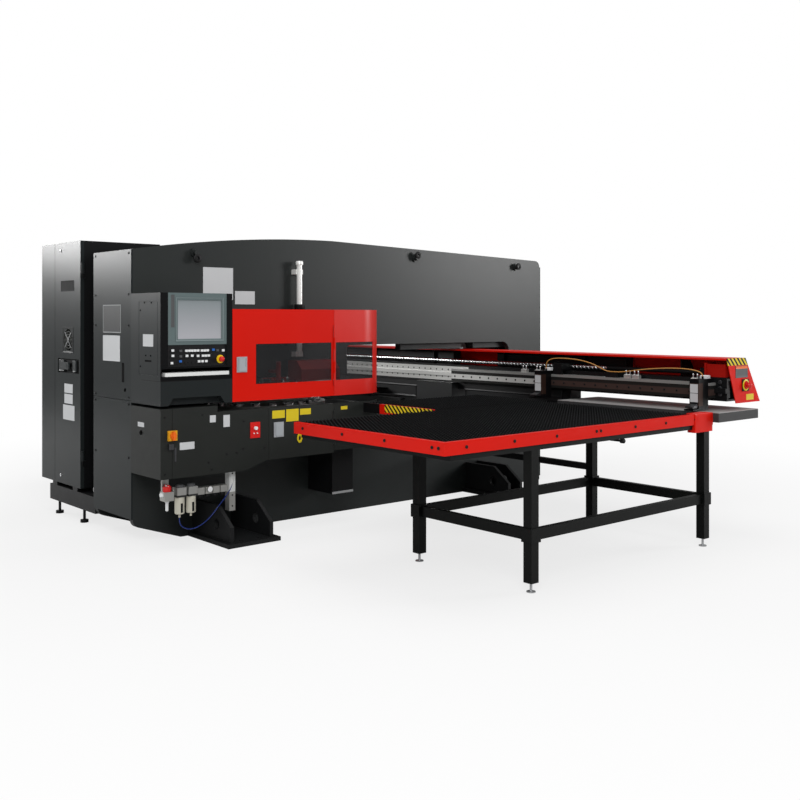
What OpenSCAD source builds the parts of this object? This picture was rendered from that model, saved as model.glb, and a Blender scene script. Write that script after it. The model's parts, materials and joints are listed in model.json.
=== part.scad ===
// Turret punch press: bridge frame, guarded turret, clamp carriage, brush tables and cabinet
// X runs along the carriage, Y runs along the frame to its rear and Z is up
// The origin is the centre of the frame's underside, on the floor

/* [Machine frame] */
// Width of the frame over its two side plates
frame_w = 648; // [600:4:680]
// Length of the frame over its end covers
frame_l = 4464; // [4400:4:4700]
// Thickness of one side plate
plate_t = 50; // [40:2:60]
// Height of the arched top at its crown
crown_z = 2294; // [2240:2:2360]
// Height of the arched top at the front end
front_z = 2146; // [2080:2:2200]
// Height of the top at the rear end
rear_z = 2218; // [2180:2:2232]
// Distance of the crown from the front end
crown_run = 1819; // [1700:1:1950]
// Height of the bed's top plate
bed_z = 800; // [770:2:815]
// Height of the throat's ceiling
throat_z = 1412; // [1400:2:1480]
// Distance of the throat's front edge from the front end
throat_run = 1978; // [1960:1:1985]
// Length of the rear post behind the throat
post_l = 467; // [420:1:500]
// Reach of a floor foot from the side plate
foot_reach = 591; // [400:1:640]

/* [Turret] */
// Radius of the turret discs
turret_r = 600; // [570:2:610]
// Distance of the turret's axis from the front end
turret_run = 1239; // [1225:1:1250]
// Radius of the circle of tool stations
station_r = 520; // [490:2:530]
// Number of tool stations
stations = 24; // [16:4:28]
// Thickness of the upper turret disc
upper_t = 80; // [60:2:90]
// Thickness of the lower turret disc
lower_t = 80; // [60:2:80]
// Stroke of the ram
ram_stroke = 37; // [25:1:45]

/* [Tables] */
// Height of the tables' red edge bands
table_z = 963; // [950:1:970]
// Depth of the red edge bands
band_h = 75; // [60:1:90]
// Distance of the tables' front edge from the front end
table_run = 504; // [480:1:560]
// Length of the fixed brush tables
table_l = 2648; // [2500:2:2660]
// Distance of the fixed tables' inner edge from the centre
table_inner = 1661; // [1640:1:1720]
// Distance of the right table's end from the centre
table_end = 3101; // [2900:1:3300]
// Distance of the left table's end from the centre
table_far = 2620; // [2400:1:2680]
// Spacing of the brush strips
brush_pitch = 45; // [35:1:60]
// Side of the square leg tubes
leg_w = 65; // [50:1:80]

/* [Carriage] */
// Travel of the carriage along the frame
y_travel = 1270; // [1000:10:1270]
// Travel of the slide bar along the carriage
x_travel = 2500; // [2000:10:2500]
// Height of the carriage cover's top
cover_z = 1346; // [1330:1:1380]
// Height of the carriage cover's lower edge
cover_low_z = 1010; // [1005:1:1030]
// Width of the carriage cover's top flange
cover_top_w = 257; // [230:1:280]
// Lean of the cover's back wall over its height
cover_lean = 207; // [150:1:240]

/* [Guards and console] */
// Reach of the guards and the console from the side plate
guard_reach = 455; // [430:1:470]
// Length of the console along the frame
console_l = 571; // [540:1:600]
// Height of the guards' lower edge
guard_z = 1032; // [1025:1:1050]
// Height of the red guards
guard_h = 678; // [620:2:720]
// Height of the console over the guards' lower edge
console_h = 790; // [760:2:840]
// Width of the turret door
door_w = 922; // [880:1:940]
// Height of the lower covers' top over the floor
lower_z = 970; // [955:1:985]
// Height of the lower covers' lower edge
lower_low_z = 523; // [500:1:560]
// Thickness of the sheet covers
sheet_t = 4; // [3:0.5:6]

/* [Cabinet] */
// Width of the electrical cabinet
cabinet_w = 803; // [700:1:900]
// Depth of the electrical cabinet
cabinet_d = 694; // [600:1:700]
// Height of the cabinet's top over the floor
cabinet_z = 2263; // [2000:1:2320]
// Height of the cabinet's underside over the floor
cabinet_low_z = 282; // [270:1:320]
// Gap between the cabinet and the frame
cabinet_gap = 283; // [260:1:320]
// Width of the cabinet's door
cabinet_door_w = 516; // [460:1:560]

/* [Hidden] */
// Overrun of every cut past the face it opens
over = 20;
// Gap between pieces that move past each other
gap = 0.3;
// Gap of a shaft in its bearing
run_gap = 0.05;
// Gap of a visible seam between two covers
seam = 3;
arc_steps = 6;
crown_steps = 20;

// Frame places
side_x = frame_w / 2;
inner_x = side_x - plate_t;
front_y = -frame_l / 2;
rear_y = frame_l / 2;
end_t = 14;
plate_y0 = front_y + end_t;
plate_y1 = rear_y - end_t;
crown_y = front_y + crown_run;
crown_sag = crown_z - front_z;
crown_r = (crown_run * crown_run + crown_sag * crown_sag) / (2 * crown_sag);
throat_y0 = front_y + throat_run;
throat_y1 = rear_y - post_l;
toe_z = 130;
toe_run = 400;
toe_fillet = 60;
rear_fillet = 60;
throat_fillet = 90;
slot_fillet = 30;
web_t = 40;
rib_t = 30;
top_t = 30;

// Lifting pins
pin_shares = [0.116, 0.617, 0.916];
pin_drop = 80;
pin_r = 24;
pin_out = 46;
boss_r = 36;
boss_t = 14;

// End covers
cover_seam_z = 1043;
cover_bottom_z = 178;

// Floor feet
front_foot_l = 444;
rear_foot_l = 266;
foot_t = 30;
gusset_t = 30;
gusset_inset = 40;
gusset_lip = 110;
gusset_head = 366;
front_foot_run = 459;
rear_foot_back = 1104;
foot_under = 6;
foot_h = cabinet_low_z - foot_under;
anchor_r = 15;
anchor_in = 70;
anchor_share = 0.18;
gusset_hole_r = 38;
hole_share = 0.6;

// Turret and tools
turret_y = front_y + turret_run;
die_rise = 18;
die_z_off = 15;
die_z = table_z + die_z_off;
sheet_gap = 27;
head_h = 25;
head_lip = 8;
die_lip = 10;
station_sizes = [38, 30, 24];
upper_z = die_z + sheet_gap;
upper_top_z = upper_z + upper_t;
lower_top_z = die_z - die_rise;
lower_bottom_z = lower_top_z - lower_t;
head_z = upper_top_z + head_h;
head_clear = 6;
rod_out = 12;
slot_z = head_z + head_clear + ram_stroke + rod_out;
slot_clear = 47;
slot_y0 = turret_y - turret_r - slot_clear;
shaft_r = 80;
bearing_r = 130;
bearing_h = 110;
collar_t = 30;
rim_w = 40;
rim_drop = 14;
tool_lift = 6;
tool_fit = 0.1;
die_hole_share = 0.6;
slug_hole_share = 0.8;

// Ram
ram_y = turret_y + station_r;
rod_r = 60;
rod_l = 500;
cylinder_r = 125;
cylinder_h = 560;
flange_r = 160;
flange_t = 35;

// Air column on the side plate
column_y_off = 1440;
column_y = front_y + column_y_off;
column_off = 62;
column_r = 23;
column_z0 = 1330;
column_z1 = 2080;
column_base_w = 70;
column_base_h = 40;

// Indexing drive and shot-pin cylinder
drive_y0_off = 1372;
drive_y0 = front_y + drive_y0_off;
drive_l = 383;
drive_out = 190;
drive_z0_off = 30;
drive_z0 = head_z + drive_z0_off;
drive_h = 160;
drive_chamfer = 70;
shot_y_off = 1203;
shot_y = front_y + shot_y_off;
shot_off = 110;
shot_r = 20;
shot_h = 158;
shot_arm_w = 44;
shot_arm_h = 24;

// Slug chute
chute_y0_off = 1572;
chute_y0 = front_y + chute_y0_off;
chute_l = 210;
chute_out = 330;
chute_z0 = 228;
chute_z1 = 594;
chute_t = 5;
chute_shoe = 16;

// Guards
guard_x = side_x + guard_reach;
guard_top_z = guard_z + guard_h;
tray_d = 40;
console_y1 = front_y + console_l;
door_y0 = console_y1 + seam;
door_y1 = door_y0 + door_w;
hinge_y = door_y1 + seam / 2;
hinge_r = 8;
hinge_pin_r = 4;
hinge_x = guard_x + sheet_t;
hinge_z0_off = 80;
hinge_z0 = guard_z + hinge_z0_off;
hinge_knuckles = 5;
hinge_share = 0.7;
notch_off = 1.5;
notch = hinge_r + notch_off;
panel_y0 = door_y1 + seam;
bend_y_off = 303;
bend_y = panel_y0 + bend_y_off;
bend_r = 280;
bend_deg = 45;
bend_step = 3;
window_z0_off = 122;
window_z0 = guard_z + window_z0_off;
window_z1_off = 420;
window_z1 = guard_z + window_z1_off;
window_y0_off = 200;
window_y0 = door_y0 + window_y0_off;
door_window_y1_off = 24;
door_window_y1 = door_y1 - door_window_y1_off;
pane_y0_off = 16;
pane_y0 = panel_y0 + pane_y0_off;
window_deg = 22;
pane_t = 6;
pane_lap = 20;
strut_w = 40;
strut_drop = 70;
far_reach_off = 75;
far_reach = guard_reach - far_reach_off;
far_y0_off = 732;
far_y0 = front_y + far_y0_off;

// Paddle latches
latch_w = 85;
latch_h = 113;
latch_rim = 9;
latch_t = 8;
latch_in = 34;
lower_latch_in = 41;
paddle_out = 6;
paddle_hinge_r = 3;
paddle_wall = 1;
latch_drop = 350;
lower_latch_drop = 110;

// Console
console_z1 = guard_z + console_h;
console_recess = 20;
cheek = 57;
cheek_thin = 44;
bezel_z0_off = 424;
bezel_z0 = guard_z + bezel_z0_off;
bezel_t = 16;
bezel_rims = [77, 41, 37, 50];
screen_t = 4;
screen_sink = 6;
key_z0_off = 272;
key_z0 = guard_z + key_z0_off;
key_panel_t = 8;
key_w = 20;
key_h = 16;
key_out = 3;
key_rows = 3;
key_columns = 12;
key_span_share = 0.72;
estop_r = 20;
estop_collar_r = 30;
estop_collar_t = 8;
estop_stem_r = 10;
estop_h = 26;
estop_in = 96;
estop_up = 45;
tray_slot_z_off = 196;
tray_slot_z = guard_z + tray_slot_z_off;
tray_slot_h = 62;
drawer_side = 8;
drawer_in = 300;
drawer_floor = 8;
keyboard_d = 190;
keyboard_h = 26;
keyboard_side = 24;
notch_side = 62;
notch_slope = 34;
notch_h = 52;
notch_d = 60;
side_panel_in = 40;
side_panel_w = 290;
side_panel_h = 520;
side_panel_up = 210;
groove = 4;

// Lower covers
box_y1_off = 449;
box_y1 = front_y + box_y1_off;
box_z1 = 1012;
mid_y1_off = 887;
mid_y1 = front_y + mid_y1_off;
slope_y0_off = 689;
slope_y0 = front_y + slope_y0_off;
slope_y1_off = 869;
slope_y1 = front_y + slope_y1_off;
slope_z_off = 59;
slope_z = lower_low_z + slope_z_off;
side_cover_z0 = 600;
lower_hinge_z0_off = 60;
lower_hinge_z0 = slope_z + lower_hinge_z0_off;
lower_door_y0 = mid_y1 + seam;
isolator_in = 87;
isolator_z = 825;
isolator_w = 70;
isolator_t = 14;
isolator_hub_r = 22;
isolator_hub_h = 16;
lever_bar_w = 18;
lever_bar_l = 60;
lever_bar_t = 24;
isolator_stem_r = 9;
pedal_in = 122;
pedal_z = 815;
pedal_w = 84;
pedal_h = 117;
pedal_t = 6;
pedal_knob_r = 13;
pedal_knob_h = 16;

// Air supply
air_x_off = 376;
air_x = side_x + air_x_off;
air_rail_w = 20;
air_rail_h = 30;
air_rail_z = 385;
air_y0_off = 72;
air_y0 = front_y + air_y0_off;
air_y1_off = 642;
air_y1 = front_y + air_y1_off;
air_bracket_w = 50;
air_bracket_z0 = 225;
air_bracket_t = 60;
head_w = 72;
head_z0 = 378;
head_z1 = 445;
bowl_runs = [188, 278];
bowl_r = 35;
bowl_h = 122;
bowl_neck_r = 8;
bowl_neck_h = 24;
valve_run = 90;
valve_h = 84;
knob_r = 30;
knob_h = 48;
knob_stem_r = 6;
knob_grip_w = 14;
knob_grip_h = 12;
regulator_runs = [352, 414, 476, 538];
regulator_w = 54;
regulator_h = 70;
cap_r = 20;
cap_h = 18;
gauge_r = 22;
gauge_t = 18;
tube_r = 4;
tube_sides = 8;
tube_route = [[700, -2044, 232], [700, -2044, 204], [702, -2034, 174], [706, -2008, 152], [710, -1966, 140],
    [714, -1912, 146], [716, -1850, 174], [716, -1790, 220], [712, -1726, 284], [706, -1668, 340],
    [702, -1630, 388], [700, -1612, 430]];
tube_fit_r = 9;
tube_fit_h = 26;
tube_fit_in = 22;
tube_fit_z = 430;

// Cabinet
cabinet_x1 = -side_x - cabinet_gap;
cabinet_x0 = cabinet_x1 - cabinet_w;
cabinet_y0 = front_y + end_t;
cabinet_y1 = cabinet_y0 + cabinet_d;
cabinet_wall = 20;
cabinet_skin = 31;
skin_y = cabinet_y0 + cabinet_skin;
cabinet_door_x0 = cabinet_x1 - cabinet_door_w;
base_x0_off = 180;
base_x0 = cabinet_x0 + base_x0_off;
base_z0 = 123;
base_z1 = 251;
base_w = 100;
base_foot_in = 60;
base_foot_r = 32;
base_foot_t = 22;
base_stud_r = 11;
spacer_w = 90;
fan_up = 1183;
fan_in = 246;
fan_r = 100;
fan_wall = 8;
fan_hub_r = 26;
fan_hub_l = 18;
fan_blades = 7;
fan_blade_t = 3;
fan_blade_tilt = 35;
fan_blade_w = 20;
fan_pin_r = 6;
grille_rings = 4;
grille_wire = 3;
fan_arm_w = 14;
fan_arm_t = 5;
handle_up = 915;
handle_w = 428;
handle_h = 114;
handle_side = 26;
handle_t = 10;
lever_w = 150;
lever_h = 60;
lever_t = 13;
lever_pivot_r = 16;
door_pin_r = 6;
door_pin_off = 8;
door_pin_x = cabinet_x1 + door_pin_off;
knuckle_h = 120;
knuckle_in = 180;

// Tables
table_y0 = front_y + table_run;
table_y1 = table_y0 + table_l;
band_t = 8;
band_flange = 30;
corner_l = 192;
bed_y0 = table_y0 + band_flange + gap;
bed_y1 = table_y1 - corner_l - gap;
corner_w = 90;
corner_h = 86;
bed_plate_t = 20;
bed_plate_drop = 58;
bed_under_z = table_z - bed_plate_drop;
brush_w = 22;
brush_rise = 3;
brush_drop = 9;
leg_front_in = 760;
leg_rear_in = 41;
leg_side_in = 50;
leg_inner_in = 387;
far_leg_inner_in = 190;
leg_z0 = 57;
rail_z0 = 310;
rail_h = 68;
rail_w = 40;
collar_w = 84;
collar_h = 86;
beam_h = 50;
beam_w = 60;
stud_r = 8;
pad_r = 28;
pad_t = 12;
ledge_w = 50;
ledge_t = 20;
arm_h = 80;
arm_w = 60;
arm_runs = [2560, 3140];
rear_plate_l = 540;
rear_plate_h = 69;
rear_plate_over = 55;

// Carriage
carriage_back = 689;
carriage_y = throat_y1 - carriage_back;
bar_y0_off = 26;
bar_y0 = carriage_y - bar_y0_off;
bar_w = 60;
bar_z0 = 1050;
bar_h = 115;
bar_over = 100;
bar_clear = 365;
rail_gap_w = 20;
guide_h = 36;
beam_y0 = bar_y0 + bar_w + rail_gap_w;
beam_d = 160;
beam_y1 = beam_y0 + beam_d;
beam_z0 = 1030;
beam_z1 = 1196;
beam_t = 14;
saddle_w = 500;
saddle_y1_off = 560;
saddle_y1 = carriage_y + saddle_y1_off;
saddle_z0_off = 50;
saddle_z0 = bed_z + saddle_z0_off;
y_rail_w = 45;
y_rail_h = 40;
y_rail_x = 180;
runner_w = 100;
runner_l = 150;
runner_drop = 34;
cover_y0_off = 44;
cover_y0 = carriage_y + cover_y0_off;
cover_y1 = cover_y0 + cover_top_w;
cover_lip = 14;
end_lean_share = 0.6;
rib_share = 0.5;
rib_places = 6;
rib_plate_t = 12;
end_t_x = 6;
screw_r = 16;
screw_z = 1232;
screw_y_off = 70;
screw_y = beam_y0 + screw_y_off;
block_w = 60;
block_h = 72;
motor_l = 190;
motor_w = 120;
motor_z0 = beam_z1;
motor_h = 105;
motor_face_t = 16;
nut_w = 90;
nut_h = 64;
nut_arm_t = 24;
nut_run = 1250;
nut_clear = 3;
clamp_runs = [1559, 51];
clamp_w = 78;
clamp_y0_off = 150;
clamp_y0 = carriage_y - clamp_y0_off;
clamp_top_z = 1196;
clamp_wall = 26;
clamp_cheek = 6.5;
jaw_y0_off = 220;
jaw_y0 = carriage_y - jaw_y0_off;
jaw_clear = 2;
jaw_t = 12;
jaw_gap = 8;
jaw_pivot_r = 9;
jaw_h = 34;
jaw_pivot_up = 40;
jaw_pivot_run = 100;
moving_inner_off = 26;
moving_inner = guard_x + moving_inner_off;
moving_outer_off = 41;
moving_outer = table_inner - moving_outer_off;
moving_y0 = table_y0 + y_travel;
moving_y1 = beam_y1;
riser_w = 120;
far_clear = 24;
moving_far_y0 = max(moving_y0, cabinet_y1 + far_clear + y_travel);
stop_y_off = 249;
stop_y = cover_y0 + stop_y_off;
stop_z = 1142;
stop_plate_w = 90;
stop_plate_t = 6;
hose_r = 4;
hose_fit_r = 8;
hose_fit_h = 18;
hose_fit_off = 18;
hose_fit_in = 154;
valve_run_x = 1800;
valve_l = 120;
valve_top = 42;
hose_route = [[1460, 1010, 1214], [1460, 1010, 1234], [1464, 1010, 1256], [1476, 1012, 1276],
    [1498, 1016, 1291],
    [1530, 1022, 1300], [1570, 1028, 1304], [1620, 1034, 1305], [1690, 1042, 1303], [1760, 1048, 1298],
    [1830, 1052, 1288], [1900, 1056, 1272], [1960, 1058, 1252], [2010, 1060, 1232], [2050, 1061, 1218],
    [2090, 1062, 1212], [2140, 1062, 1211.5], [2190, 1062, 1213], [2250, 1060, 1219], [2320, 1056, 1229],
    [2400, 1050, 1240], [2480, 1044, 1249], [2560, 1038, 1256], [2640, 1031, 1261], [2720, 1025, 1264],
    [2800, 1019, 1264], [2870, 1014, 1260], [2920, 1011, 1252], [2950, 1010, 1242], [2964, 1010, 1228],
    [2968, 1010, 1214]];

// Unit vector along a plane vector
function unit(v) = v / norm(v);

// Arc that rounds corner b between its neighbours a and c
function corner_arc(a, b, c, r) =
    let (u = unit(a - b), w = unit(c - b), half = acos(u * w) / 2, ctr = b + unit(u + w) * r / sin(half),
        s = b + u * r / tan(half), e = b + w * r / tan(half),
        a0 = atan2(s.y - ctr.y, s.x - ctr.x), a1 = atan2(e.y - ctr.y, e.x - ctr.x),
        turn = (a1 - a0 + 540) % 360 - 180)
    [for (i = [0:arc_steps]) ctr + r * [cos(a0 + turn * i / arc_steps), sin(a0 + turn * i / arc_steps)]];

// Outline whose corners [x, y, radius] are rounded where the radius isn't zero
function rounded(pts) = [for (i = [0:len(pts) - 1])
    let (n = len(pts), a = pts[(i + n - 1) % n], b = pts[i], c = pts[(i + 1) % n])
    each b[2] > 0 ? corner_arc([a.x, a.y], [b.x, b.y], [c.x, c.y], b[2]) : [[b.x, b.y]]];

// Height of the frame's top at a place along the frame
function top_z(y) = y < crown_y
    ? crown_z - crown_r + sqrt(crown_r * crown_r - (y - crown_y) * (y - crown_y))
    : crown_z - (crown_z - rear_z) * (y - crown_y) / (rear_y - crown_y);

// Points along the frame's top, lowered by a drop
function top_line(drop) = concat(
    [for (i = [0:crown_steps]) let (y = plate_y0 + (crown_y - plate_y0) * i / crown_steps) [y,
        top_z(y) - drop]],
    [[plate_y1, top_z(plate_y1) - drop]]);

function reversed(list) = [for (i = [len(list) - 1:-1:0]) list[i]];

// Upright prism between two opposite corners
module block(lo, hi) {
    translate(lo) cube(hi - lo);
}

// Outline in the Y-Z plane, extruded along X
module yz_plate(x, t) {
    translate([x, 0, 0]) rotate([90, 0, 90]) linear_extrude(t) children();
}

// Outline in the X-Z plane, extruded along Y
module xz_plate(y, t) {
    translate([0, y + t, 0]) rotate([90, 0, 0]) linear_extrude(t) children();
}

// Round bar along X
module x_bar(at, r, l) {
    translate(at) rotate([0, 90, 0]) cylinder(r = r, h = l, $fn = 48);
}

// Round bar along Y
module y_bar(at, r, l) {
    translate(at) rotate([-90, 0, 0]) cylinder(r = r, h = l, $fn = 48);
}

// Round bar along Z
module z_bar(at, r, l) {
    translate(at) cylinder(r = r, h = l, $fn = 48);
}

module both_sides() {
    children();
    mirror([1, 0, 0]) children();
}

// Plate across the frame's inside, between two places along it and two heights
module web(y0, z0, y1, z1) {
    block([-inner_x, y0, z0], [inner_x, y1, z1]);
}

// Outline of a side plate with its throat and turret slot
module side_outline() {
    difference() {
        polygon(rounded(concat(
            [[plate_y0, toe_z, toe_fillet]],
            [for (p = top_line(0)) [p.x, p.y, p.x == plate_y1 ? rear_fillet : 0]],
            [[plate_y1, 0, 0], [front_y + toe_run, 0, 0]])));
        polygon(rounded([[slot_y0, bed_z, slot_fillet], [slot_y0, slot_z, slot_fillet],
            [throat_y0, slot_z, 0],
            [throat_y0, throat_z, slot_fillet], [throat_y1, throat_z, throat_fillet],
            [throat_y1, bed_z, throat_fillet]]));
    }
}

module side_plate() {
    yz_plate(inner_x, plate_t) side_outline();
    for (share = pin_shares) {
        y = front_y + frame_l * share;
        x_bar([side_x, y, top_z(y) - pin_drop], boss_r, boss_t);
        x_bar([side_x, y, top_z(y) - pin_drop], pin_r, pin_out);
    }
}

module side_plates() {
    color("dimgray") both_sides() side_plate();
}

// Bottom plate, top plate with the lower turret's bearing, cross ribs and guide rails
module bed_weldment() {
    color("darkslategray") difference() {
        union() {
            web(front_y + toe_run, 0, plate_y1, web_t);
            web(slot_y0 - web_t, bed_z - web_t, throat_y1 + web_t, bed_z);
            for (y = [slot_y0 - web_t, turret_y + turret_r, (throat_y0 + throat_y1) / 2, throat_y1])
                web(y, 0, y + rib_t, bed_z);
            z_bar([0, turret_y, bed_z - web_t], bearing_r, lower_bottom_z - gap - bed_z + web_t);
            both_sides() block([y_rail_x - y_rail_w / 2, throat_y0 + web_t, bed_z - web_t],
                [y_rail_x + y_rail_w / 2, throat_y1 - web_t, bed_z + y_rail_h]);
        }
        z_bar([0, turret_y, bed_z - web_t - over], shaft_r + run_gap,
            lower_bottom_z - bed_z + web_t + over * 2);
    }
}

// Ceiling plates over the slot and throat, cross ribs, end walls and the arched top
module arm_weldment() {
    color("darkslategray") difference() {
        union() {
            web(slot_y0 - web_t, slot_z, throat_y0, slot_z + web_t);
            web(throat_y0 - web_t, slot_z, throat_y0, top_z(throat_y0) - top_t / 2);
            web(throat_y0 - web_t, throat_z, throat_y1 + web_t, throat_z + web_t);
            web(throat_y1, throat_z, throat_y1 + web_t, top_z(throat_y1) - top_t);
            web(slot_y0 - web_t, slot_z, slot_y0, top_z(slot_y0) - top_t / 2);
            web(plate_y0, toe_z + toe_fillet * 2, plate_y0 + rib_t, front_z - top_t / 2);
            web(plate_y1 - rib_t, web_t, plate_y1, rear_z - rear_fillet);
            yz_plate(-inner_x, inner_x * 2) polygon(concat(
                [for (p = top_line(0)) [min(p.x, plate_y1 - rear_fillet), p.y]],
                reversed([for (p = top_line(top_t)) [min(p.x, plate_y1 - rear_fillet), p.y]])));
            yz_plate(-inner_x, inner_x * 2) polygon([[plate_y1 - rear_fillet - top_t, rear_z],
                [plate_y1 - rear_fillet, rear_z], [plate_y1, rear_z - rear_fillet],
                [plate_y1 - top_t, rear_z - rear_fillet - top_t],
                [plate_y1 - rear_fillet - top_t, rear_z - top_t]]);
            z_bar([0, turret_y, slot_z], bearing_r, bearing_h);
        }
        z_bar([0, turret_y, slot_z - over], shaft_r + run_gap, bearing_h + over * 2);
        z_bar([0, ram_y, slot_z - over], rod_r + run_gap, web_t + over * 2);
    }
}

// Front covers above and below their seam, and the rear cover
module end_covers() {
    color("dimgray") {
        block([-side_x, front_y, cover_seam_z + seam / 2], [side_x, plate_y0, front_z]);
        block([-side_x, front_y, cover_bottom_z], [side_x, plate_y0, cover_seam_z - seam / 2]);
        block([-side_x, plate_y1, web_t], [side_x, rear_y, rear_z - rear_fillet]);
    }
}

// Floor foot of one side: anchor plate and two gussets
module foot(y0, foot_l) {
    difference() {
        union() {
            block([side_x, y0, 0], [side_x + foot_reach, y0 + foot_l, foot_t]);
            for (y = [y0 + gusset_inset, y0 + foot_l - gusset_inset - gusset_t])
                xz_plate(y, gusset_t) polygon([[side_x, 0], [side_x + foot_reach - gusset_inset, 0],
                    [side_x + foot_reach - gusset_inset, foot_t + gusset_lip], [side_x + gusset_head, foot_h],
                    [side_x, foot_h]]);
        }
        for (side = [-1, 1])
            z_bar([side_x + foot_reach - anchor_in, y0 + foot_l / 2 + side * foot_l * anchor_share, -over],
                anchor_r, foot_t + over * 2);
        y_bar([side_x + foot_reach * hole_share, y0 - over, foot_h / 2], gusset_hole_r, foot_l + over * 2);
    }
}

module foot_brackets() {
    color("dimgray") both_sides() {
        foot(front_y + front_foot_run, front_foot_l);
        foot(rear_y - rear_foot_back, rear_foot_l);
    }
}

// Cylinder that guides the ram's rod, on the ceiling over the slot
module ram_cylinder() {
    color("slategray") difference() {
        union() {
            z_bar([0, ram_y, slot_z + web_t], flange_r, flange_t);
            z_bar([0, ram_y, slot_z + web_t], cylinder_r, cylinder_h);
        }
        z_bar([0, ram_y, slot_z + web_t - over], rod_r + run_gap, cylinder_h - flange_t + over);
    }
}

module ram_rod() {
    color("silver") z_bar([0, ram_y, slot_z - rod_out], rod_r, rod_l);
}

// Tall polished air column, held to the side plate by a base and a head bracket
module air_column() {
    color("gainsboro") {
        z_bar([side_x + column_off, column_y, column_z0], column_r, column_z1 - column_z0);
        for (z = [column_z0, column_z1 - column_base_h * 2])
            block([side_x, column_y - column_base_w / 2, z],
                [side_x + column_off, column_y + column_base_w / 2, z + column_base_h]);
    }
}

// Indexing drive box and the shot-pin cylinder on its arm
module index_drive() {
    color("darkred") {
        xz_plate(drive_y0, drive_l) polygon([[side_x, drive_z0], [side_x + drive_out, drive_z0],
            [side_x + drive_out, drive_z0 + drive_h - drive_chamfer],
            [side_x + drive_out - drive_chamfer, drive_z0 + drive_h], [side_x, drive_z0 + drive_h]]);
        z_bar([side_x + shot_off, shot_y, drive_z0], shot_r, shot_h);
        block([side_x, shot_y - shot_arm_w / 2, slot_z + web_t],
            [side_x + shot_off, shot_y + shot_arm_w / 2, slot_z + web_t + shot_arm_h]);
    }
}

// Open duct that lets slugs fall beside the frame, with a shoe at its mouth
module slug_chute() {
    color("black") {
        difference() {
            block([side_x, chute_y0, chute_z0], [side_x + chute_out, chute_y0 + chute_l, chute_z1]);
            block([side_x + chute_t, chute_y0 + chute_t, chute_z0 - over],
                [side_x + chute_out - chute_t, chute_y0 + chute_l - chute_t, chute_z1 - chute_t]);
        }
        block([side_x + chute_out, chute_y0, chute_z0],
            [side_x + chute_out + chute_t, chute_y0 + chute_l, chute_z0 + chute_shoe]);
    }
}

// Housing with the panel recess, drawer slot, finger notch and side panel groove
module console_housing() {
    mid = front_y + side_panel_in;
    color("dimgray") difference() {
        block([side_x, front_y, guard_z], [guard_x, console_y1, console_z1]);
        block([panel_x, panel_left, key_z0], [guard_x + over, panel_right, console_z1 + over]);
        block([guard_x - drawer_in, front_y + drawer_side, tray_slot_z],
            [guard_x + over, console_y1 - drawer_side, tray_slot_z + tray_slot_h]);
        yz_plate(guard_x - notch_d, notch_d + over) polygon([[front_y + notch_side, guard_z - over],
            [front_y + notch_side, guard_z], [front_y + notch_side + notch_slope, guard_z + notch_h],
            [console_y1 - notch_side - notch_slope, guard_z + notch_h], [console_y1 - notch_side, guard_z],
            [console_y1 - notch_side, guard_z - over]]);
        difference() {
            block([guard_x - side_panel_in - side_panel_w, front_y - over, guard_z + side_panel_up],
                [guard_x - side_panel_in, front_y + groove, guard_z + side_panel_up + side_panel_h]);
            block([guard_x - side_panel_in - side_panel_w + groove, front_y - over * 2,
                guard_z + side_panel_up + groove],
                [guard_x - side_panel_in - groove, mid, guard_z + side_panel_up + side_panel_h - groove]);
        }
    }
}

// Places of the console's control panel
panel_x = guard_x - console_recess;
panel_left = front_y + cheek;
panel_right = console_y1 - cheek_thin;

// Screen inside the bezel's rims, up to a depth over the panel's back
module screen_block(front) {
    block([panel_x + bezel_t - screen_sink - screen_t, panel_left + bezel_rims[0], bezel_z0 + bezel_rims[2]],
        [panel_x + front, panel_right - bezel_rims[1], console_z1 - bezel_rims[3]]);
}

module monitor_bezel() {
    color("lightslategray") difference() {
        block([panel_x, panel_left, bezel_z0], [panel_x + bezel_t, panel_right, console_z1]);
        screen_block(bezel_t + over);
    }
}

module monitor_screen() {
    color("silver") screen_block(bezel_t - screen_sink);
}

// Places of the emergency stop on the key panel
estop_y = console_y1 - estop_in;
estop_z = key_z0 + estop_up;

module key_panel() {
    span = (panel_right - panel_left) * key_span_share;
    color("black") difference() {
        union() {
            block([panel_x, panel_left, key_z0], [panel_x + key_panel_t, panel_right, bezel_z0]);
            for (row = [0:key_rows - 1], column = [0:key_columns - 1]) {
                y = panel_left + key_w + span * column / key_columns;
                z = key_z0 + key_h + (bezel_z0 - key_z0 - key_h * 2) * row / key_rows;
                block([panel_x + key_panel_t, y, z], [panel_x + key_panel_t + key_out, y + key_w, z + key_h]);
            }
            x_bar([panel_x, estop_y, estop_z], estop_collar_r, key_panel_t + estop_collar_t);
        }
        x_bar([panel_x - over, estop_y, estop_z], estop_stem_r + gap,
            over * 2 + key_panel_t + estop_collar_t);
    }
}

// Mushroom head on a stem, pressed along its axis
module mushroom(stem) {
    rotate([0, 90, 0]) rotate_extrude($fn = 48) polygon(rounded([[0, -stem, 0], [estop_stem_r, -stem, 0],
        [estop_stem_r, 0, 0], [estop_r, 0, 0], [estop_r, estop_h / 2, estop_h / 4],
        [estop_r / 2, estop_h, estop_h / 4],
        [0, estop_h, 0]]));
}

module console_estop() {
    x = panel_x + key_panel_t + estop_collar_t + estop_h / 2;
    color("red") translate([x, estop_y, estop_z]) mushroom(estop_h / 2 + estop_collar_t);
}

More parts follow.
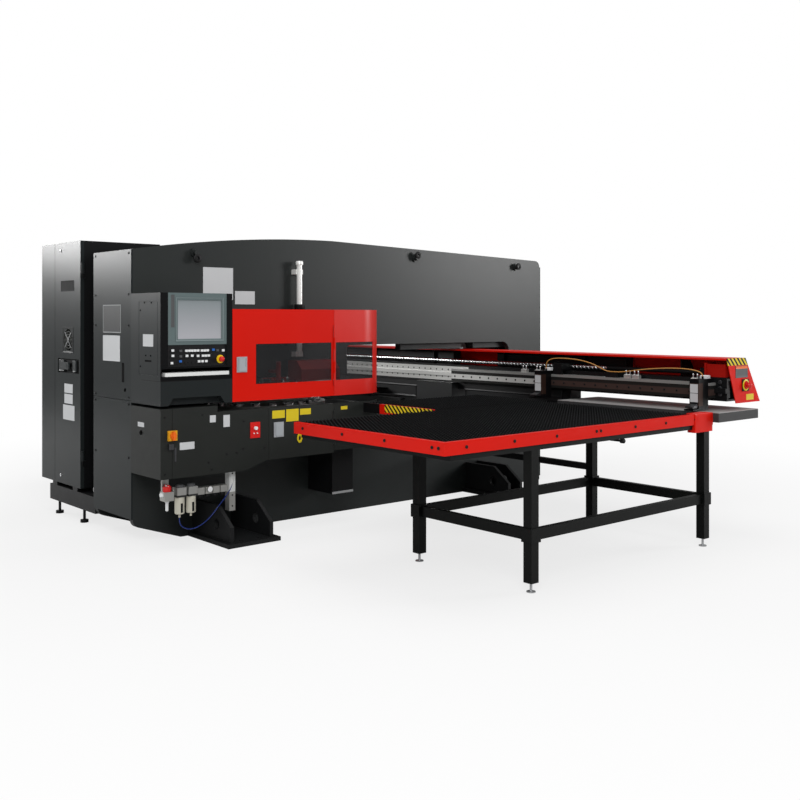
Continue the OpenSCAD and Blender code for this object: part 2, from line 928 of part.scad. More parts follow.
module keyboard_drawer() {
    x0 = guard_x - drawer_in + over;
    y0 = front_y + drawer_side + gap;
    y1 = console_y1 - drawer_side - gap;
    color("black") {
        block([x0, y0, tray_slot_z + gap], [guard_x, y1, tray_slot_z + drawer_floor]);
        block([guard_x - keyboard_d, y0 + keyboard_side, tray_slot_z + drawer_floor],
            [guard_x + drawer_floor, y1 - keyboard_side, tray_slot_z + drawer_floor + keyboard_h]);
    }
}

// Plan outline of a fixed guard: straight, then bent back round an arc, inset by a depth
function guard_line(y0, inset, deg) = concat([[guard_x - inset, y0]],
    [for (i = [0:round(deg / bend_step)]) [guard_x - bend_r, bend_y]
        + (bend_r - inset) * [cos(bend_step * i), sin(bend_step * i)]]);

module guard_sheet(y0, z0, z1, inset, t, deg) {
    translate([0, 0, z0]) linear_extrude(z1 - z0)
        polygon(concat(guard_line(y0, inset, deg), reversed(guard_line(y0, inset + t, deg))));
}

// Strut that carries a guard sheet from the side plate
module strut(y, z, x1) {
    block([side_x, y, z], [x1, y + strut_w, z + strut_w]);
}

// Plain guard on the far side of the frame, between two heights, on two struts
module far_guard(z0, z1, strut_z) {
    mirror([1, 0, 0]) {
        translate([far_reach - guard_reach, 0, 0]) guard_sheet(far_y0, z0, z1, 0, sheet_t, bend_deg);
        for (y = [panel_y0, far_y0]) strut(y + strut_w, strut_z, side_x + far_reach - sheet_t);
    }
}

// Places of a hinge's knuckle by its number
function knuckle_z(z0, h, i) = z0 + h * i / hinge_knuckles;

// Knuckles with these numbers on a door hinge, each on a leaf that reaches its sheet
module knuckles(z0, h, first, towards) {
    for (i = [first:2:hinge_knuckles - 1])
        translate([hinge_x, hinge_y, knuckle_z(z0, h, i) + gap]) difference() {
            union() {
                cylinder(r = hinge_r, h = h / hinge_knuckles - gap * 2, $fn = 32);
                translate([-sheet_t * 2, min(0, towards * (notch + sheet_t)), 0])
                    cube([sheet_t, notch + sheet_t, h / hinge_knuckles - gap * 2]);
            }
            translate([0, 0, -over]) cylinder(r = hinge_pin_r + run_gap, h = h + over * 2, $fn = 32);
        }
}

module hinge_pin(z0, h) {
    z_bar([hinge_x, hinge_y, z0], hinge_pin_r, h);
}

guard_hinge_h = guard_h * hinge_share;
lower_hinge_h = (lower_z - slope_z) * hinge_share;

// Fixed red panel beside the turret door with its half of the hinge, and the far panel
module guard_panels() {
    color("red") {
        difference() {
            guard_sheet(panel_y0, guard_z, guard_top_z, 0, sheet_t, bend_deg);
            block([guard_x - bend_r, pane_y0, window_z0],
                [guard_x + over, bend_y + bend_r * sin(window_deg), window_z1]);
            block([guard_x - over, panel_y0 - over, hinge_z0],
                [guard_x + over, hinge_y + notch, hinge_z0 + guard_hinge_h]);
        }
        knuckles(hinge_z0, guard_hinge_h, 0, 1);
        hinge_pin(hinge_z0, guard_hinge_h);
        strut(panel_y0 + strut_w, guard_top_z - strut_drop, guard_x - sheet_t);
        far_guard(guard_z, guard_top_z, guard_top_z - strut_drop);
    }
}

module guard_window() {
    color("gray") difference() {
        guard_sheet(pane_y0 - pane_lap / 2, window_z0 - pane_lap, window_z1 + pane_lap, sheet_t,
            pane_t,
            window_deg + bend_deg / 4);
        block([guard_x - over, panel_y0 - over, hinge_z0 - over],
            [guard_x, hinge_y + notch + sheet_t, hinge_z0 + guard_hinge_h + over]);
    }
}

// Shallow tray of folded sheet between two places and two heights
module door_tray(y0, y1, z0, z1) {
    difference() {
        block([guard_x - tray_d, y0, z0], [guard_x, y1, z1]);
        block([guard_x - tray_d - over, y0 + sheet_t, z0 + sheet_t],
            [guard_x - sheet_t, y1 - sheet_t, z1 - sheet_t]);
    }
}

// Rim of a paddle latch on a door's sheet
module latch_rim(y0, z0) {
    difference() {
        block([guard_x - sheet_t, y0, z0], [guard_x + latch_t, y0 + latch_w, z0 + latch_h]);
        block([guard_x, y0 + latch_rim, z0 + latch_rim],
            [guard_x + latch_t + over, y0 + latch_w - latch_rim, z0 + latch_h - latch_rim]);
    }
    x = guard_x + paddle_hinge_r + paddle_wall;
    for (z = [z0, z0 + latch_h - latch_rim])
        z_bar([x, y0 + latch_rim + paddle_hinge_r + paddle_wall, z], paddle_hinge_r,
            latch_rim + paddle_hinge_r);
}

// Paddle that swings out on the pins of its rim
module latch_paddle(y0, z0) {
    x = guard_x + paddle_hinge_r + paddle_wall;
    y = y0 + latch_rim + paddle_hinge_r + paddle_wall;
    difference() {
        union() {
            z_bar([x, y, z0 + latch_rim + gap], paddle_hinge_r + paddle_wall - gap,
                latch_h - latch_rim * 2 - gap * 2);
            block([x, y, z0 + latch_rim + gap], [guard_x + latch_t + paddle_out,
                y0 + latch_w - latch_rim - gap, z0 + latch_h - latch_rim - gap]);
        }
        for (z = [z0, z0 + latch_h - latch_rim - paddle_hinge_r])
            z_bar([x, y, z - over], paddle_hinge_r + run_gap, latch_rim + paddle_hinge_r + over);
    }
}

turret_latch_y = door_y0 + latch_in;
turret_latch_z = guard_top_z - latch_drop - latch_h;
lower_latch_y = lower_door_y0 + lower_latch_in;
lower_latch_z = lower_z - lower_latch_drop - latch_h;

module turret_door() {
    color("red") {
        difference() {
            door_tray(door_y0, door_y1, guard_z, guard_top_z);
            block([guard_x - tray_d + over, window_y0, window_z0],
                [guard_x + over, door_window_y1, window_z1]);
            block([guard_x - tray_d - over, hinge_y - notch, hinge_z0],
                [guard_x + over, door_y1 + over, hinge_z0 + guard_hinge_h]);
        }
        knuckles(hinge_z0, guard_hinge_h, 1, -1);
        latch_rim(turret_latch_y, turret_latch_z);
    }
}

module turret_door_window() {
    color("gray") block([guard_x - sheet_t - pane_t, window_y0 - pane_lap, window_z0 - pane_lap],
        [guard_x - sheet_t, min(door_window_y1 + pane_lap, hinge_y - notch - sheet_t * 2),
        window_z1 + pane_lap]);
}

module turret_door_latch() {
    color("lightslategray") latch_paddle(turret_latch_y, turret_latch_z);
}

// Closed isolator box with the groove of its front door
module lower_cover_box() {
    color("dimgray") difference() {
        block([side_x, front_y, lower_low_z], [guard_x, box_y1, box_z1]);
        block([guard_x - groove, front_y + isolator_in, lower_low_z - over],
            [guard_x + over, front_y + isolator_in + groove, box_z1 + over]);
    }
}

// Folded cover whose lower edge rises towards the lower door, with a bottom pan
module lower_cover_mid() {
    color("dimgray") {
        yz_plate(guard_x - sheet_t, sheet_t) polygon([[box_y1, lower_low_z], [slope_y0, lower_low_z],
            [slope_y1, slope_z], [mid_y1, slope_z], [mid_y1, lower_z], [box_y1, lower_z]]);
        block([side_x, box_y1, lower_low_z], [guard_x, slope_y0, lower_low_z + sheet_t]);
        block([guard_x - tray_d, box_y1, lower_z - sheet_t], [guard_x, mid_y1, lower_z]);
        block([guard_x - tray_d, mid_y1 - sheet_t, slope_z], [guard_x, mid_y1, lower_z]);
    }
}

// Lower bent panel with its half of the hinge, and the plain far panel
module lower_side_covers() {
    color("dimgray") {
        difference() {
            guard_sheet(panel_y0, side_cover_z0, lower_z, 0, sheet_t, bend_deg);
            block([guard_x - over, panel_y0 - over, lower_hinge_z0],
                [guard_x + over, hinge_y + notch, lower_hinge_z0 + lower_hinge_h]);
        }
        knuckles(lower_hinge_z0, lower_hinge_h, 0, 1);
        hinge_pin(lower_hinge_z0, lower_hinge_h);
        strut(panel_y0 + strut_w, side_cover_z0, guard_x - sheet_t);
        far_guard(lower_low_z, lower_z, lower_low_z);
    }
}

module lower_door() {
    color("dimgray") {
        difference() {
            door_tray(lower_door_y0, door_y1, slope_z, lower_z);
            block([guard_x - tray_d - over, hinge_y - notch, lower_hinge_z0],
                [guard_x + over, door_y1 + over, lower_hinge_z0 + lower_hinge_h]);
        }
        knuckles(lower_hinge_z0, lower_hinge_h, 1, -1);
        latch_rim(lower_latch_y, lower_latch_z);
    }
}

module lower_door_latch() {
    color("lightslategray") latch_paddle(lower_latch_y, lower_latch_z);
}

isolator_y = front_y + isolator_in;

module isolator_base() {
    color("gold") difference() {
        block([guard_x, isolator_y - isolator_w / 2, isolator_z - isolator_w / 2],
            [guard_x + isolator_t, isolator_y + isolator_w / 2, isolator_z + isolator_w / 2]);
        x_bar([guard_x + sheet_t, isolator_y, isolator_z], isolator_stem_r + run_gap, isolator_t + over);
    }
}

module isolator_handle() {
    x0 = guard_x + isolator_t + gap;
    color("orangered") {
        x_bar([guard_x + sheet_t + gap, isolator_y, isolator_z], isolator_stem_r, isolator_t);
        x_bar([x0, isolator_y, isolator_z], isolator_hub_r, isolator_hub_h);
        block([x0, isolator_y - lever_bar_w / 2, isolator_z - lever_bar_l / 2],
            [x0 + lever_bar_t, isolator_y + lever_bar_w / 2, isolator_z + lever_bar_l / 2]);
    }
}

// Red socket plate with a round knob and two buttons
module pedal_plate() {
    y = mid_y1 - pedal_in;
    color("red") {
        block([guard_x, y - pedal_w / 2, pedal_z - pedal_h / 2],
            [guard_x + pedal_t, y + pedal_w / 2, pedal_z + pedal_h / 2]);
        x_bar([guard_x + pedal_t, y, pedal_z + pedal_h / 8], pedal_knob_r, pedal_knob_h);
        for (side = [-1, 1])
            x_bar([guard_x + pedal_t, y + side * pedal_w / 6, pedal_z - pedal_h / 5], pedal_knob_r / 3,
                pedal_knob_h / 2);
    }
}

// Rail under the lower covers with the valve, filter heads, regulators and bracket
module air_unit() {
    x0 = air_x - head_w / 2;
    valve_y = front_y + valve_run;
    color("gainsboro") {
        difference() {
            union() {
                block([x0 - air_rail_w, air_y0, air_rail_z], [x0, air_y1, air_rail_z + air_rail_h]);
                block([x0, valve_y - head_w / 2, head_z1 - valve_h],
                    [x0 + head_w, valve_y + head_w / 2, head_z1 - over]);
            }
            z_bar([air_x, valve_y, head_z0], knob_stem_r + run_gap, head_z1 - head_z0);
        }
        block([x0 - air_rail_w, air_y0, air_rail_z], [x0, air_y0 + air_bracket_w, lower_low_z]);
        block([x0 - air_rail_w, air_y1 - air_bracket_w, air_bracket_z0],
            [x0 - air_rail_w + air_bracket_t, air_y1, lower_low_z]);
        for (run = bowl_runs)
            block([x0, front_y + run - head_w / 2, head_z0],
                [x0 + head_w, front_y + run + head_w / 2, head_z1]);
        for (run = regulator_runs) {
            block([x0, front_y + run - regulator_w / 2, head_z1 - regulator_h],
                [x0 + regulator_w, front_y + run + regulator_w / 2, head_z1 - over]);
            z_bar([air_x - regulator_w / 8, front_y + run, head_z1 - regulator_h - cap_h],
                cap_r, cap_h);
        }
        x_bar([x0 + regulator_w, front_y + regulator_runs[1], head_z1 - regulator_h / 2], gauge_r, gauge_t);
        z_bar([air_x, air_y1 - tube_fit_in, tube_fit_z], tube_fit_r, tube_fit_h);
    }
}

module filter_bowls() {
    color("beige") for (run = bowl_runs)
        translate([air_x, front_y + run, head_z0 - bowl_h]) rotate_extrude($fn = 48)
            polygon(rounded([[0, -bowl_neck_h, 0], [bowl_neck_r, -bowl_neck_h, 0], [bowl_neck_r, 0, 0],
                [bowl_r, 0, bowl_r / 4], [bowl_r, bowl_h, 0], [0, bowl_h, 0]]));
}

// Red knob that turns to lock the air off
module lockout_knob() {
    z0 = head_z1 - over + gap;
    color("red") translate([air_x, front_y + valve_run, z0]) {
        translate([0, 0, -knob_grip_h]) cylinder(r = knob_stem_r, h = knob_grip_h + knob_h, $fn = 32);
        cylinder(r = knob_r, h = knob_h - knob_grip_h, $fn = 48);
        translate([-knob_r, -knob_grip_w / 2, 0]) cube([knob_r * 2, knob_grip_w, knob_h]);
    }
}

// Ring of points round a route's point, square to its direction
function route_ring(route, i, r) =
    let (last = len(route) - 1, ahead = route[min(i + 1, last)] - route[max(i - 1, 0)],
        t = ahead / norm(ahead), aside = abs(t.z) > abs(t.y) ? cross(t, [0, 1, 0]) : cross(t, [0, 0, 1]),
        side = aside / norm(aside), up = cross(side, t))
    [for (k = [0:tube_sides - 1]) route[i]
        + r * (side * cos(360 * k / tube_sides) + up * sin(360 * k / tube_sides))];

// Tube swept along a route of points
module swept_tube(route, r) {
    rings = len(route);
    polyhedron(
        points = [for (i = [0:rings - 1]) each route_ring(route, i, r)],
        faces = concat([[for (k = [0:tube_sides - 1]) k]],
            [for (i = [0:rings - 2], k = [0:tube_sides - 1]) let (n = (k + 1) % tube_sides)
                [i * tube_sides + k, (i + 1) * tube_sides + k, (i + 1) * tube_sides + n, i * tube_sides + n]],
            [[for (k = [tube_sides - 1:-1:0]) (rings - 1) * tube_sides + k]]));
}

module drain_tube() {
    color("navy") swept_tube(tube_route, tube_r);
}

// Oil hose that joins the two clamps over the slide bar
module clamp_hose() {
    color("orange") swept_tube(hose_route, hose_r);
}

// Hollow cabinet with a fixed front strip and an open doorway
module cabinet_shell() {
    color("dimgray") difference() {
        union() {
            block([cabinet_x0, skin_y, cabinet_low_z], [cabinet_x1, cabinet_y1, cabinet_z]);
            block([cabinet_x0, cabinet_y0, cabinet_low_z], [cabinet_door_x0 - seam, skin_y, cabinet_z]);
            for (z = knuckle_zs) {
                z_bar([door_pin_x, fan_y, z], door_pin_r, knuckle_h);
                block([cabinet_x1 + gap, fan_y, z],
                    [door_pin_x + door_pin_r / 2, fan_y + cabinet_skin, z + knuckle_h / 3]);
                block([cabinet_x1 - over, skin_y, z],
                    [door_pin_x, fan_y + cabinet_skin, z + knuckle_h / 3]);
            }
        }
        block([cabinet_door_x0 + cabinet_wall, skin_y - over, cabinet_low_z + cabinet_wall],
            [cabinet_x1 - cabinet_wall, cabinet_y1 - cabinet_wall, cabinet_z - cabinet_wall]);
        block([cabinet_x0 + cabinet_wall, skin_y, cabinet_low_z + cabinet_wall],
            [cabinet_x1 - cabinet_wall, cabinet_y1 - cabinet_wall, cabinet_z - cabinet_wall]);
    }
}

// Base beams that tie the cabinet to the frame, with spacers and levelling feet
module cabinet_base() {
    color("black") for (y = [cabinet_y0, cabinet_y1 - base_w]) {
        block([base_x0, y, base_z0], [-side_x, y + base_w, base_z1]);
        for (x = [base_x0 + base_foot_in, cabinet_x1 - base_foot_in - spacer_w])
            block([x, y, base_z1], [x + spacer_w, y + base_w, cabinet_low_z]);
        for (x = y < cabinet_y0 + over ? [base_x0 + base_foot_in,
            cabinet_x1 - base_foot_in] : [base_x0 + base_foot_in]) {
            z_bar([x, y + base_foot_in, 0], base_foot_r, base_foot_t);
            z_bar([x, y + base_foot_in, 0], base_stud_r, base_z1);
        }
    }
}

fan_x = cabinet_x1 - fan_in;
fan_z = cabinet_low_z + fan_up;
fan_y = cabinet_y0 + cabinet_skin / 2;
lever_x = cabinet_x1 - handle_side - handle_w / 2;
lever_z = cabinet_low_z + handle_up + handle_h / 2;
knuckle_zs = [cabinet_low_z + knuckle_in, cabinet_z - knuckle_in - knuckle_h];

// Wire rings and spokes over the fan
module grille_outline() {
    for (i = [1:grille_rings]) difference() {
        r = (fan_r - fan_wall) * i / grille_rings + grille_wire;
        circle(r = r, $fn = 64);
        circle(r = r - grille_wire * 2, $fn = 64);
    }
    for (turn = [0, 60, 120])
        rotate(turn) square([(fan_r - fan_wall) * 2, grille_wire], center = true);
}

// Door leaf with the fan's duct, grille, arms and pin, the handle recess and the knuckles
module cabinet_door() {
    color("dimgray") {
        difference() {
            block([cabinet_door_x0, cabinet_y0, cabinet_low_z], [cabinet_x1, skin_y - gap, cabinet_z]);
            y_bar([fan_x, cabinet_y0 - over, fan_z], fan_r - fan_wall, cabinet_skin + over * 2);
            block([cabinet_x1 - handle_side - handle_w, cabinet_y0 - over, cabinet_low_z + handle_up],
                [cabinet_x1 - handle_side, cabinet_y0 + handle_t, cabinet_low_z + handle_up + handle_h]);
        }
        xz_plate(cabinet_y0 + grille_wire, grille_wire) translate([fan_x, fan_z]) grille_outline();
        for (turn = [0, 90])
            translate([fan_x, skin_y - fan_arm_t - gap, fan_z]) rotate([0, turn, 0])
                translate([-fan_r, 0, -fan_arm_w / 2]) cube([fan_r * 2, fan_arm_t, fan_arm_w]);
        y_bar([fan_x, skin_y - fan_arm_t - gap - fan_hub_l, fan_z], fan_pin_r, fan_hub_l + fan_arm_t);
        y_bar([lever_x, cabinet_y0 - gap - lever_t, lever_z], lever_pivot_r, handle_t + lever_t + gap);
        for (z = knuckle_zs) difference() {
            union() {
                z_bar([door_pin_x, fan_y, z + knuckle_h / 3 + gap], door_pin_r * 2,
                    knuckle_h * 2 / 3 - gap);
                block([cabinet_x1 - over, fan_y - door_pin_r, z + knuckle_h / 3 + gap],
                    [door_pin_x, fan_y + door_pin_r, z + knuckle_h]);
            }
            z_bar([door_pin_x, fan_y, z - over], door_pin_r + run_gap, knuckle_h + over * 2);
        }
    }
}

module cabinet_fan() {
    y0 = skin_y - fan_arm_t - gap * 2 - fan_hub_l;
    color("silver") translate([fan_x, y0, fan_z]) rotate([-90, 0, 0]) difference() {
        union() {
            cylinder(r = fan_hub_r, h = fan_hub_l, $fn = 48);
            for (i = [0:fan_blades - 1]) rotate([0, 0, 360 * i / fan_blades])
                translate([0, 0, fan_hub_l / 2]) rotate([fan_blade_tilt, 0, 0])
                    translate([fan_hub_r / 2, -fan_blade_w / 2, -fan_blade_t / 2])
                        cube([fan_r - fan_wall * 2 - fan_hub_r / 2, fan_blade_w, fan_blade_t]);
        }
        translate([0, 0, -over]) cylinder(r = fan_pin_r + run_gap, h = fan_hub_l + over * 2, $fn = 48);
    }
}

// Lever that turns on the boss in the handle recess
module cabinet_handle() {
    color("gray") difference() {
        block([lever_x - lever_w, cabinet_y0 - gap - lever_t, lever_z - lever_h / 2],
            [lever_x + lever_h / 2, cabinet_y0 - gap, lever_z + lever_h / 2]);
        y_bar([lever_x, cabinet_y0 - over, lever_z], lever_pivot_r + run_gap, over * 2);
    }
}

// Red angle band on three sides of a table, with square corner blocks at the rear
module table_band(x1) {
    z0 = table_z - band_h;
    difference() {
        block([table_inner, table_y0, z0], [x1, table_y1, table_z]);
        block([table_inner - over, table_y0 + band_flange, z0 - over],
            [x1 - band_flange, table_y1 + over, table_z + over]);
        block([table_inner - over, table_y0 + band_t, z0 - over],
            [x1 - band_t, table_y1 + over, table_z - band_t]);
    }
    difference() {
        block([x1 - corner_w, table_y1 - corner_l, table_z - corner_h], [x1 + band_t, table_y1, table_z]);
        block([x1 - corner_w - over, table_y1 - corner_l - over, table_z - corner_h - over],
            [x1 - band_t, table_y1 - band_t, table_z - band_t]);
    }
}

module table_bands() {
    color("red") {
        table_band(table_end);
        mirror([1, 0, 0]) table_band(table_far);
    }
}

// Brush strips side by side on a bed plate
module brush_bed(x0, x1, y0, y1) {
    z0 = bed_under_z;
    strips = floor((x1 - x0 - brush_w) / brush_pitch);
    block([x0, y0, z0], [x1, y1, z0 + bed_plate_t]);
    for (i = [0:strips]) {
        x = x0 + (x1 - x0 - brush_w) * i / strips;
        block([x, y0, z0], [x + brush_w, y1, table_z + brush_rise - brush_drop]);
    }
}

module brush_beds() {
    color("black") {
        brush_bed(table_inner, table_end - band_flange - gap, bed_y0, bed_y1);
        mirror([1, 0, 0])
            brush_bed(table_inner, table_far - band_flange - gap, bed_y0, bed_y1);
    }
}

// Legs, rails with clamp collars, beams under the bed and the ledge beside the moving table
module table_frame(x1, inner_in) {
    z1 = bed_under_z;
    xs = [table_inner + inner_in, x1 - leg_side_in];
    ys = [table_y0 + leg_front_in, table_y1 - leg_rear_in];
    for (x = xs, y = ys) {
        block([x - leg_w / 2, y - leg_w / 2, leg_z0], [x + leg_w / 2, y + leg_w / 2, z1]);
        block([x - collar_w / 2, y - collar_w / 2, rail_z0 - (collar_h - rail_h) / 2],
            [x + collar_w / 2, y + collar_w / 2, rail_z0 + (collar_h + rail_h) / 2]);
    }
    for (y = ys)
        block([xs[0], y - rail_w / 2, rail_z0], [xs[1], y + rail_w / 2, rail_z0 + rail_h]);
    for (x = xs)
        block([x - rail_w / 2, ys[0], rail_z0], [x + rail_w / 2, ys[1], rail_z0 + rail_h]);
    for (y = [table_y0 + beam_w, ys[0] - beam_w / 2, table_y1 - corner_l - beam_w * 2])
        block([table_inner, y, z1 - beam_h], [x1 - band_t * 2, y + beam_w, z1]);
    for (x = [table_inner, xs[0] - beam_w / 2, x1 - band_t * 2 - beam_w])
        block([x, table_y0 + beam_w, z1 - beam_h], [x + beam_w, table_y1 - corner_l, z1]);
    block([xs[0] - beam_w / 2, table_y1 - corner_l - beam_w, z1 - beam_h], [xs[0] + beam_w / 2, ys[1], z1]);
    block([xs[1] - leg_w / 2, table_y1 - corner_l - beam_w, z1 - beam_h], [xs[1] + leg_w / 2, ys[1], z1]);
    block([table_inner - ledge_w - beam_w / 2, table_y0 + beam_w, z1 - gap - ledge_t],
        [table_inner, table_y1 - corner_l, z1 - gap]);
    for (run = arm_runs)
        block([side_x, front_y + run, z1 - beam_h - arm_h], [xs[0], front_y + run + arm_w, z1 - beam_h]);
}

module table_frames() {
    color("black") {
        table_frame(table_end, leg_inner_in);
        leg_feet(table_end, leg_inner_in);
        mirror([1, 0, 0]) {
            table_frame(table_far, far_leg_inner_in);
            leg_feet(table_far, far_leg_inner_in);
        }
    }
}

// Levelling feet under the legs of one table
module leg_feet(x1, inner_in) {
    for (x = [table_inner + inner_in, x1 - leg_side_in], y = [table_y0 + leg_front_in,
        table_y1 - leg_rear_in])
        translate([x, y, 0]) rotate_extrude($fn = 48) polygon([[0, 0], [pad_r, 0], [pad_r, pad_t / 2],
            [stud_r, pad_t], [stud_r, leg_z0 + over], [0, leg_z0 + over]]);
}

// Plain folded plate behind a brush table
module rear_table(x1) {
    z0 = table_z - rear_plate_h;
    difference() {
        block([table_inner, table_y1, z0], [x1 + rear_plate_over, table_y1 + rear_plate_l, table_z]);
        block([table_inner + sheet_t, table_y1 + sheet_t, z0 - over],
            [x1 + rear_plate_over - sheet_t, table_y1 + rear_plate_l - sheet_t, table_z - sheet_t]);
    }
}

module rear_tables() {
    color("silver") {
        rear_table(table_end);
        mirror([1, 0, 0]) rear_table(table_far);
    }
}

// Radius of a tool station by its number
function station_size(i) = station_sizes[i % len(station_sizes)];

// Children at each tool station, with the station's radius in $size
module at_stations() {
    for (i = [0:stations - 1]) {
        $size = station_size(i);
        translate([0, turret_y, 0]) rotate([0, 0, 90 + 360 * i / stations]) translate([station_r, 0,
            0]) children();
    }
}

module upper_turret() {
    color("lightgray") {
        difference() {
            union() {
                z_bar([0, turret_y, upper_z], turret_r - rim_w, upper_t);
                z_bar([0, turret_y, upper_z + rim_drop], turret_r, upper_t - rim_drop * 2);
            }
            at_stations() translate([0, 0, upper_z - over]) cylinder(r = $size, h = upper_t + over * 2,
                $fn = 48);
        }
        z_bar([0, turret_y, upper_top_z], shaft_r, slot_z + bearing_h + gap - upper_top_z);
        z_bar([0, turret_y, slot_z + bearing_h + gap], shaft_r + collar_t, collar_t);
    }
}

module punch_tools() {
    color("silver") at_stations() {
        translate([0, 0, upper_z + tool_lift]) cylinder(r = $size - tool_fit, h = upper_t - tool_lift,
            $fn = 48);
        translate([0, 0, upper_top_z]) cylinder(r = $size + head_lip, h = head_h, $fn = 48);
    }
}

module lower_turret() {
    color("lightgray") {
        difference() {
            z_bar([0, turret_y, lower_bottom_z], turret_r, lower_t);
            at_stations() translate([0, 0, lower_bottom_z - over])
                cylinder(r = $size * slug_hole_share, h = lower_t + over * 2, $fn = 48);
        }
        z_bar([0, turret_y, bed_z - web_t * 2], shaft_r, lower_bottom_z - bed_z + web_t * 2);
    }
}

module die_tools() {
    color("silver") at_stations() translate([0, 0, lower_top_z]) difference() {
        cylinder(r = $size + die_lip, h = die_rise, $fn = 48);
        translate([0, 0, -over]) cylinder(r = $size * die_hole_share, h = die_rise + over * 2, $fn = 48);
    }
}

// Block on four runners that straddle the bed's rails
module saddle() {
    color("dimgray") {
        block([-saddle_w / 2, carriage_y - over, saddle_z0], [saddle_w / 2, saddle_y1, cover_low_z - seam]);
        block([-saddle_w / 2, carriage_y - over, saddle_z0], [saddle_w / 2, beam_y1, beam_z0]);
        both_sides() for (y = [carriage_y, saddle_y1 - runner_l]) difference() {
            block([y_rail_x - runner_w / 2, y, saddle_z0 - runner_drop],
                [y_rail_x + runner_w / 2, y + runner_l, saddle_z0]);
            block([y_rail_x - y_rail_w / 2 - gap, y - over, saddle_z0 - runner_drop - over],
                [y_rail_x + y_rail_w / 2 + gap, y + runner_l + over, bed_z + y_rail_h + gap]);
        }
    }
}

beam_x0 = -table_far + end_t_x;
beam_x1 = table_end - end_t_x;

// Hollow beam along the carriage with the slide bar's guide, screw bearings and cover ribs
module carriage_beam() {
    color("black") {
        difference() {
            block([beam_x0, beam_y0, beam_z0], [beam_x1, beam_y1, beam_z1]);
            block([beam_x0 - over, beam_y0 + beam_t, beam_z0 + beam_t],
                [beam_x1 + over, beam_y1 - beam_t, beam_z1 - beam_t]);
        }
        block([beam_x0, beam_y0 - rail_gap_w + gap, bar_z0 + bar_h / 2 - guide_h / 2],
            [beam_x1, beam_y0, bar_z0 + bar_h / 2 + guide_h / 2]);
        for (x = [beam_x0, beam_x1 - motor_l - block_w]) difference() {
            block([x, screw_y - block_w / 2, beam_z1],
                [x + block_w, screw_y + block_w / 2, beam_z1 + block_h]);
            x_bar([x - over, screw_y, screw_z], screw_r + run_gap, block_w + over * 2);
        }
        for (i = [0:rib_places - 1]) {
            x = beam_x0 + (beam_x1 - beam_x0 - rib_plate_t) * (i + rib_share) / rib_places;
            yz_plate(x, rib_plate_t) polygon([[beam_y1, beam_z0], [beam_y1 + over, cover_low_z + over],
                [cover_back(cover_low_z + over) - gap, cover_low_z + over],
                [cover_back(cover_z - sheet_t) - gap, cover_z - sheet_t],
                [beam_y1 - over, cover_z - sheet_t], [beam_y1 - over, beam_z1]]);
        }
        both_sides() for (x = [moving_inner, moving_outer - riser_w])
            block([x, beam_y0 + beam_t, bed_under_z + bed_plate_t],
                [x + riser_w, beam_y1 - beam_t, beam_z0]);
    }
}

// Inner face of the cover's leaning back wall at a height
function cover_back(z) = cover_y1 - sheet_t + cover_lean * (cover_z - z) / (cover_z - cover_low_z);

// Outline of the red cover's section, a thin sheet with a front lip
module cover_section() {
    polygon([[cover_y0, cover_z], [cover_y1, cover_z], [cover_back(cover_low_z) + sheet_t, cover_low_z],
        [cover_back(cover_low_z), cover_low_z], [cover_back(cover_z - sheet_t), cover_z - sheet_t],
        [cover_y0 + sheet_t, cover_z - sheet_t], [cover_y0 + sheet_t, cover_z - cover_lip],
        [cover_y0, cover_z - cover_lip]]);
}

module carriage_cover() {
    color("red") yz_plate(beam_x0, beam_x1 - beam_x0) cover_section();
}

// Leaning end plates; the right one carries the emergency stop's plate
module end_panels() {
    lean = cover_lean * end_lean_share;
    color("red") {
        for (x = [beam_x0 - end_t_x, beam_x1])
            yz_plate(x, end_t_x) polygon([[cover_y0, cover_z], [cover_y1, cover_z],
                [cover_back(cover_low_z) + sheet_t, cover_low_z], [cover_y0 + lean, cover_low_z]]);
        difference() {
            union() {
                block([table_end, stop_y - stop_plate_w / 2, stop_z - stop_plate_w / 2],
                    [table_end + stop_plate_t, stop_y + stop_plate_w / 2, stop_z + stop_plate_w / 2]);
                x_bar([table_end, stop_y, stop_z], estop_collar_r, stop_plate_t + estop_collar_t);
            }
            x_bar([table_end, stop_y, stop_z], estop_stem_r + gap, over * 2);
        }
    }
}

module carriage_estop() {
    color("red") translate([table_end + stop_plate_t + estop_collar_t + estop_h / 2, stop_y, stop_z])
        mushroom(estop_h / 2 + estop_collar_t);
}

// Servo motor at the right end of the screw
module screw_motor() {
    x0 = beam_x1 - motor_l;
    color("black") {
        block([x0 + motor_face_t, screw_y - motor_w / 2, motor_z0],
            [beam_x1 - over, screw_y + motor_w / 2, motor_z0 + motor_h]);
        block([x0, screw_y - motor_w / 2 - motor_face_t / 2, motor_z0],
            [x0 + motor_face_t, screw_y + motor_w / 2 + motor_face_t / 2,
            motor_z0 + motor_h + motor_face_t / 2]);
    }
}

// Screw that drives the slide bar, between its two bearings
module x_screw() {
    color("silver") x_bar([beam_x0, screw_y, screw_z], screw_r, beam_x1 - motor_l - gap - beam_x0);
}

// Brush table that rides with the carriage
module moving_table(y0) {
    z0 = bed_under_z;
    brush_bed(moving_inner, moving_outer, y0 + band_flange + gap, jaw_y0);
    block([moving_inner, jaw_y0, z0], [moving_outer, moving_y1, z0 + bed_plate_t]);
}

// One moving table on each side of the turret, the far one short of the cabinet
module moving_tables() {
    color("black") {
        moving_table(moving_y0);
        mirror([1, 0, 0]) moving_table(moving_far_y0);
    }
}

